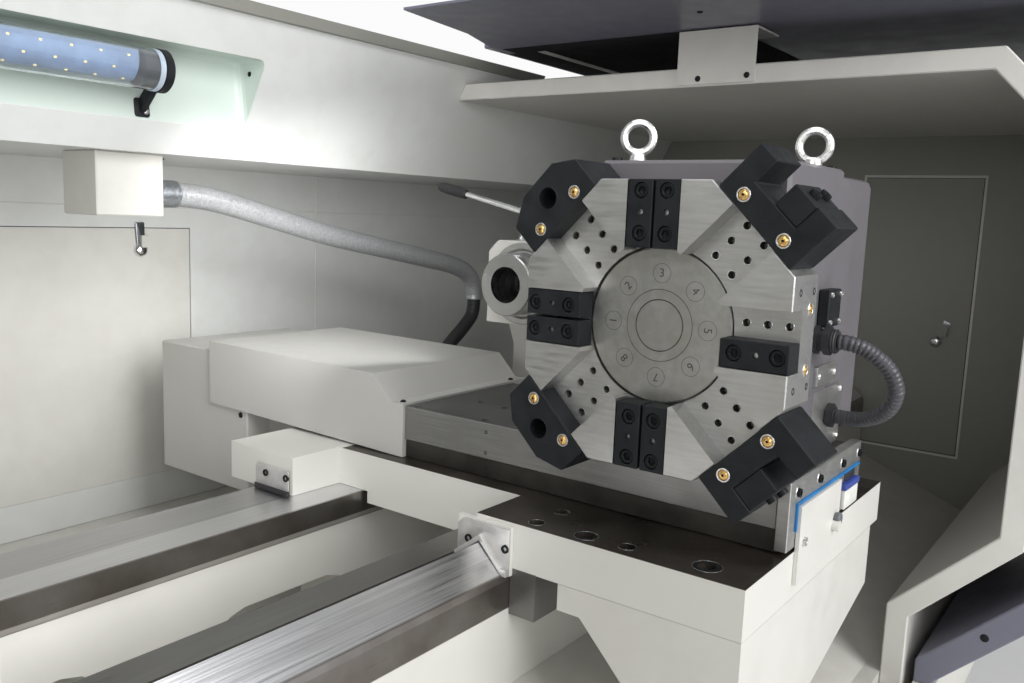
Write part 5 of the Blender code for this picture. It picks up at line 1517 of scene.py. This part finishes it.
@dataclass
class Doors:
    """Gaskets, grips and screws of the two sliding doors, and the painted shade and painted light
    under the right one's roof.
    """

    length: float = 0.700
    face: float = -0.372
    inner: float = -0.342
    bar: float = -0.408
    starts: tuple[float, float] = (0.560, -1.545)
    grips: tuple[float, float] = (0.045, 0.655)

    def build(self) -> None:
        """Builds the fittings of both doors."""
        for side, body, start, grip in zip(("right", "left"), (Body.RIGHT_DOOR, Body.LEFT_DOOR),
                                           self.starts, self.grips):
            low, high = (start + 0.086, -0.174), (start + self.length - 0.066, 0.254)
            line = rounded(rectangle(low, high), 0.012)
            path = np.array([(x, self.face - 0.001, z) for x, z in line])
            Shape().add(self.ringed(path, 0.0042), loop=True).write(
                side + "_door_gasket", RUBBER, body, 60.0)
            x = start + grip
            collars = Shape()
            for z, way in ((-0.150, DOWNWARDS), (0.150, UPWARDS)):
                collars.add(dome(0.0089, 0.004), Seat((x, self.bar, z), way))
            collars.each(washer(0.0070, 0.0115, 0.0, 0.004), facing(FRONTWARDS, [
                (x, self.face, z) for z in (-0.125, 0.125)]), loop=True)
            collars.write(side + "_grip_collars", PLATED, body)
            screws = Shape()
            for x in (start + 0.030, start + 0.350, start + 0.670):
                screws.each(dome(0.0056, 0.0028), facing(FRONTWARDS, [
                    (x, self.face, z) for z in (0.290, -0.315)]))
                screws.add(dome(0.0056, 0.0028), Seat((x, self.inner, 0.280), REARWARDS))
            if side == "right":
                screws.add(dome(0.0062, 0.0012), Seat((start, -0.2919, -0.4754), LEFTWARDS))
                screws.add(dome(0.0052, 0.0026), Seat((0.434, 0.1688, 0.4325), DOWNWARDS))
            screws.write(side + "_door_screws", SCREW_BLACK, body)
        self.underside()

    def underside(self) -> None:
        """Black sheets of painted shade and a pale strip of painted light under the right door's
        roof plate.
        """
        shade_sheets = Shape()
        # Black sheets where the door roof's underside lies in shade: painted shade.
        for low, high, bottom, top in (((0.5525, 0.1850), (0.6000, 0.6380), 0.43195, 0.43255),
                                       ((0.6005, 0.1850), (1.2450, 0.6800), 0.43800, 0.43905)):
            shade_sheets.add(slab(rectangle(low, high), bottom, top, 0.0002, 1))
        shade_sheets.write("door_roof_painted_shade", PAINTED_SHADE_BLACK, Body.RIGHT_DOOR)
        # Pale strip standing in for a bright gap of light under the door roof: painted light.
        light_strip = plate((0.6170, 0.5880), (1.2300, 0.6020), 0.003, 0.4355, 0.4382, 0.0008)
        Shape().add(light_strip).write("door_roof_painted_light", IVORY, Body.RIGHT_DOOR)

    @staticmethod
    def ringed(path: Array, radius: float) -> Array:
        """Round bead along a closed flat path that lies across Y.

        Args:
            path: Points of the closed line.
            radius: Radius of the bead.

        Returns:
            Points of the bead, one ring for each path point.
        """
        ahead = np.roll(path, -1, axis=0) - np.roll(path, 1, axis=0)
        ahead /= np.linalg.norm(ahead, axis=1, keepdims=True)
        first = np.broadcast_to(np.array((0.0, 1.0, 0.0)), ahead.shape)
        second = np.cross(ahead, first)
        turn = np.linspace(0.0, 2 * np.pi, 10, endpoint=False)
        return path[:, None] + radius * (first[:, None] * np.cos(turn)[None, :, None]
                                         + second[:, None] * np.sin(turn)[None, :, None])


@dataclass
class ControlPanel:
    """Operator's panel: screen, keys, dials and buttons on a leaning face."""

    low: tuple[float, float] = (-0.414, -0.060)
    high: tuple[float, float] = (-0.380, 0.262)
    left: float = 1.275
    right: float = 1.495
    face: float = 0.0028

    def seat(self, x: float, up: float, lift: float = 0.0) -> Seat:
        """A place on the leaning face, up metres along it."""
        (y0, z0), (y1, z1) = self.low, self.high
        lean = np.array((0.0, y1 - y0, z1 - z0))
        lean /= np.linalg.norm(lean)
        out = np.cross(RIGHTWARDS, lean)
        point = np.array((x, y0, z0)) + lean * up + out * lift
        return Seat(tuple(point), tuple(out), RIGHTWARDS)

    def build(self) -> None:
        """Builds every piece of the panel."""
        mid, stop, face = (self.left + self.right) / 2, self.right - 0.034, self.face
        Shape().add(plate((-0.098, -0.072), (0.098, 0.072), 0.008, 0.0, 0.006, 0.002),
                    self.seat(mid, 0.235)).add(
            plate((-0.098, -0.060), (0.098, 0.060), 0.006, 0.0, 0.003),
            self.seat(mid, 0.080)).write("panel_bezels", KEY_GREY, Body.MACHINE)
        key = plate((-0.006, -0.005), (0.006, 0.005), 0.0015, 0.0, 0.0028, 0.0008, 1, 2)
        Shape().each(key, [self.seat(self.left + 0.028 + 0.017 * column, 0.058 + 0.0155 * row, face)
                           for row in range(4) for column in range(7)]).write(
            "panel_keys", IVORY, Body.MACHINE)
        dial = turned([(0, 0), (0.0105, 0), (0.0110, 0.002), (0.0090, 0.010), (0.0080, 0.012),
                       (0, 0.0125)], 24)
        Shape().each(dial, [self.seat(self.right - x, 0.115, face) for x in (0.060, 0.030)]).write(
            "panel_dials", RUBBER, Body.MACHINE)
        for name, finish, grid, seat in (
                ("panel_screen", SCREEN,
                 plate((-0.080, -0.055), (0.080, 0.055), 0.003, 0.0, 0.0012, 0.0004),
                 self.seat(mid, 0.235, 0.0058)),
                ("panel_stop_button", STOP_RED,
                 turned([(0, 0), (0.009, 0), (0.009, 0.008), (0.0150, 0.010), (0.0158, 0.014),
                         (0.0120, 0.018), (0, 0.0195)], 32), self.seat(stop, 0.066, 0.0045)),
                ("panel_stop_collar", STOP_YELLOW,
                 turned([(0, 0), (0.0190, 0), (0.0200, 0.0008), (0.0195, 0.0020), (0, 0.0022)], 32),
                 self.seat(stop, 0.066, face)),
                ("panel_start_button", START_GREEN,
                 turned([(0, 0), (0.0085, 0), (0.0085, 0.004), (0.0075, 0.0052), (0, 0.0055)], 28),
                 self.seat(self.right - 0.078, 0.066, face))):
            Shape().add(grid, seat).write(name, finish, Body.MACHINE)


@dataclass
class Headstock:
    """Chuck screws and turned rings that turn with the spindle."""

    axis_y: float = 0.435
    face: float = -0.650

    def build(self) -> None:
        """Builds the spindle's small parts."""
        Shape().each(cap_screw(0.0075, 0.006, 0.0037, 0.004), facing(RIGHTWARDS, [
            (self.face + 0.0052, self.axis_y + r * math.cos(a), r * math.sin(a))
            for a in map(math.radians, (30, 150, 270)) for r in (0.075, 0.130)])).write(
            "chuck_face_screws", SCREW_BLACK, Body.SPINDLE)
        rings = Shape()
        for r in (0.0475, 0.150):
            rings.add(washer(r - 0.0006, r + 0.0006, -0.0006, 0.00004, 96),
                      Seat((self.face, self.axis_y, 0), RIGHTWARDS), loop=True)
        rings.write("chuck_face_rings", MARK, Body.SPINDLE)


@dataclass
class Base:
    """Panels, their screws, louvres and a cabinet door on the outside of the machine."""

    front: float = -0.1547
    rear: float = 1.256
    panels: tuple[tuple[float, float], ...] = (
        (-1.530, -0.830), (-0.790, -0.050), (-0.010, 0.730), (0.770, 1.510))
    louvre_banks: tuple[float, float] = (-1.380, -1.130)
    handle: tuple[float, float] = (0.900, -0.050)

    def build(self) -> None:
        """Builds the outside details of the base and the left cabinet."""
        panels, screws, louvres = Shape(), Shape(), Shape()
        for low, high in self.panels:
            panels.add(plate((low, -1.030), (high, -0.730), 0.010, -0.001, 0.003),
                       on_front(self.front))
            panels.add(plate((-high, -1.100), (-low, -0.600), 0.010, -0.001, 0.003),
                       on_rear(self.rear))
            for x in (low + 0.020, high - 0.020):
                screws.each(dome(0.0075, 0.004), facing(FRONTWARDS, [
                    (x, self.front - 0.003, z) for z in (-1.010, -0.750)]))
                screws.each(dome(0.0075, 0.004), facing(REARWARDS, [
                    (x, self.rear + 0.003, z) for z in (-1.080, -0.620)]))
        panels.write("base_panels", BASE_PAINT, Body.MACHINE)
        screws.write("base_panel_screws", SCREW_BLACK, Body.MACHINE)
        louvres.each(self.louvre(0.190, 0.0065, 0.0045), [
            Seat((bank, self.rear + 0.0038, 0.060 + 0.020 * k), REARWARDS, LEFTWARDS)
            for bank in self.louvre_banks for k in range(12)])
        louvres.write("cabinet_louvres", ENAMEL, Body.MACHINE, 60.0)
        Shape().add(plate((0.860, -0.480), (1.520, 0.350), 0.012, -0.001, 0.004, 0.0015),
                    on_rear(self.rear)).write("cabinet_door_panel", ENAMEL, Body.MACHINE)
        x, z = self.handle
        Shape().add(plate((x - 0.014, z - 0.045), (x + 0.014, z + 0.045), 0.008, 0.0, 0.006, 0.002),
                    on_rear(self.rear + 0.004)).add(
            plate((x - 0.007, z - 0.010), (x + 0.007, z + 0.034), 0.005, 0.0, 0.008, 0.003),
            on_rear(self.rear + 0.0098)).write("cabinet_handle", KEY_GREY, Body.MACHINE)

    @staticmethod
    def louvre(width: float, tall: float, deep: float) -> Array:
        """Pressed louvre: half an ellipse across, fading to nothing at both ends.

        The height over the sheet is deep * sqrt(1 - u^4) * cos(v), for u along its length and v
        from its lower to its upper lip.

        Args:
            width: Length of the louvre.
            tall: Half its height.
            deep: How far it stands out.

        Returns:
            Points of a closed shell, rings across its length.
        """
        u = np.linspace(-1.0, 1.0, 13)
        v = np.linspace(-np.pi / 2, np.pi / 2, 7)
        lift = deep * np.sqrt(np.maximum(1 - u[:, None] ** 4, 0.0)) * np.cos(v)[None, :] + 0.0003
        y = np.broadcast_to(tall * np.sin(v)[None, :], lift.shape)
        x = np.broadcast_to(u[:, None] * width / 2, lift.shape)
        top = np.stack((x, y, lift), axis=2)
        under = top[:, ::-1] * (1, 1, 0) + (0, 0, -0.0005)
        return np.concatenate((top, under), axis=1)


FLOOR_REACH = 14.0
FLOOR_TOP = -0.0005
SKY_STRENGTH = 0.47
LIGHTS: tuple[tuple[str, Vector3, Vector3, float, float, float], ...] = (
    ("front_softbox", (-0.2, -3.4, 2.3), (0.3, 0.0, 1.0), 2.4, 110.0, 180),
    ("top_softbox", (-0.3, -0.4, 4.2), (0.0, 0.1, 0.9), 2.0, 26.0, 180),
    ("left_softbox", (-4.2, -2.2, 2.2), (0.0, 0.0, 1.0), 2.2, 43.0, 180),
    ("inner_softbox", (-0.60, -0.24, 1.04), (-0.10, 0.83, 1.02), 0.50, 3.0, 150),
    ("wall_softbox", (0.10, 0.18, 1.22), (0.34, 0.83, 1.00), 0.36, 1.1, 104),
    ("upper_softbox", (-0.62, -0.42, 1.72), (0.55, 0.05, 1.45), 0.40, 1.0, 90))


def lay_floor() -> None:
    """Plain pale floor."""
    mesh = bpy.data.meshes.new("studio_floor")
    corners = rectangle((-FLOOR_REACH, -FLOOR_REACH), (FLOOR_REACH, FLOOR_REACH))
    mesh.from_pydata([(x, y, FLOOR_TOP) for x, y in corners], [], [(0, 1, 2, 3)])
    floor = bpy.data.objects.new("studio_floor", mesh)
    bpy.context.scene.collection.objects.link(floor)
    w = Wires("studio_floor")
    w.set(Base_Color=w.blend(w.noise(3.0), (0.66, 0.66, 0.65), (0.70, 0.70, 0.69)), Roughness=0.8)
    mesh.materials.append(w.material)


def light_scene() -> None:
    """Pale surroundings, plain white where the camera sees them, and soft studio light."""
    world = bpy.data.worlds.new("studio")
    world.use_nodes = True
    tree = world.node_tree
    back = tree.nodes["Background"]
    seen = tree.nodes.new("ShaderNodeBackground")
    for node, colour, strength in ((back, (0.93, 0.95, 0.97, 1.0), SKY_STRENGTH),
                                   (seen, (0.97, 0.97, 0.97, 1.0), 1.0)):
        node.inputs["Color"].default_value = colour
        node.inputs["Strength"].default_value = strength
    path = tree.nodes.new("ShaderNodeLightPath")
    either = tree.nodes.new("ShaderNodeMath")
    either.operation = "MAXIMUM"
    mix = tree.nodes.new("ShaderNodeMixShader")
    for source, target in ((path.outputs["Is Camera Ray"], either.inputs[0]),
                           (path.outputs["Is Transmission Ray"], either.inputs[1]),
                           (either.outputs[0], mix.inputs[0]), (back.outputs[0], mix.inputs[1]),
                           (seen.outputs[0], mix.inputs[2]),
                           (mix.outputs[0], tree.nodes["World Output"].inputs["Surface"])):
        tree.links.new(source, target)
    bpy.context.scene.world = world

    for name, point, aim, size, watts, spread in LIGHTS:
        data = bpy.data.lights.new(name, "AREA")
        data.shape = "SQUARE"
        data.size = size
        data.energy = watts
        data.spread = math.radians(spread)
        lamp = bpy.data.objects.new(name, data)
        lamp.visible_camera = False
        lamp.location = point
        lamp.rotation_mode = "QUATERNION"
        lamp.rotation_quaternion = (Vector(aim) - Vector(point)).to_track_quat("-Z", "Y")
        bpy.context.scene.collection.objects.link(lamp)


def set_camera() -> None:
    """Camera at the photograph's place and angle, solved from measured points."""
    data = bpy.data.cameras.new("operator_view")
    data.sensor_width = 36.0
    data.lens = 31.33
    data.clip_start = 0.02
    data.clip_end = 60.0
    camera = bpy.data.objects.new("operator_view", data)
    right = np.array((0.5977, -0.8008, 0.0373))
    forward = np.array((0.7965, 0.5879, -0.1412))
    forward /= np.linalg.norm(forward)
    right -= forward * (right @ forward)
    right /= np.linalg.norm(right)
    camera.matrix_world = placement(right, np.cross(right, forward), -forward,
                                    (-0.8529, -0.8761, 1.2669))
    bpy.context.scene.collection.objects.link(camera)
    bpy.context.scene.camera = camera
    bpy.context.scene.view_settings.view_transform = "Standard"


def main() -> None:
    """Builds the machine's looks in order."""
    logging.basicConfig(level=logging.INFO, format="%(name)s: %(message)s")
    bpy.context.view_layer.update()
    set_camera()
    dress_nodes()
    for assembly in (CrossSlide(), Guards(), Turret(), Carriage(), Tailstock(), Lamp(), Doors(),
                     ControlPanel(), Headstock(), Base()):
        assembly.build()
    lay_floor()
    light_scene()


if __name__ == "__main__":
    main()
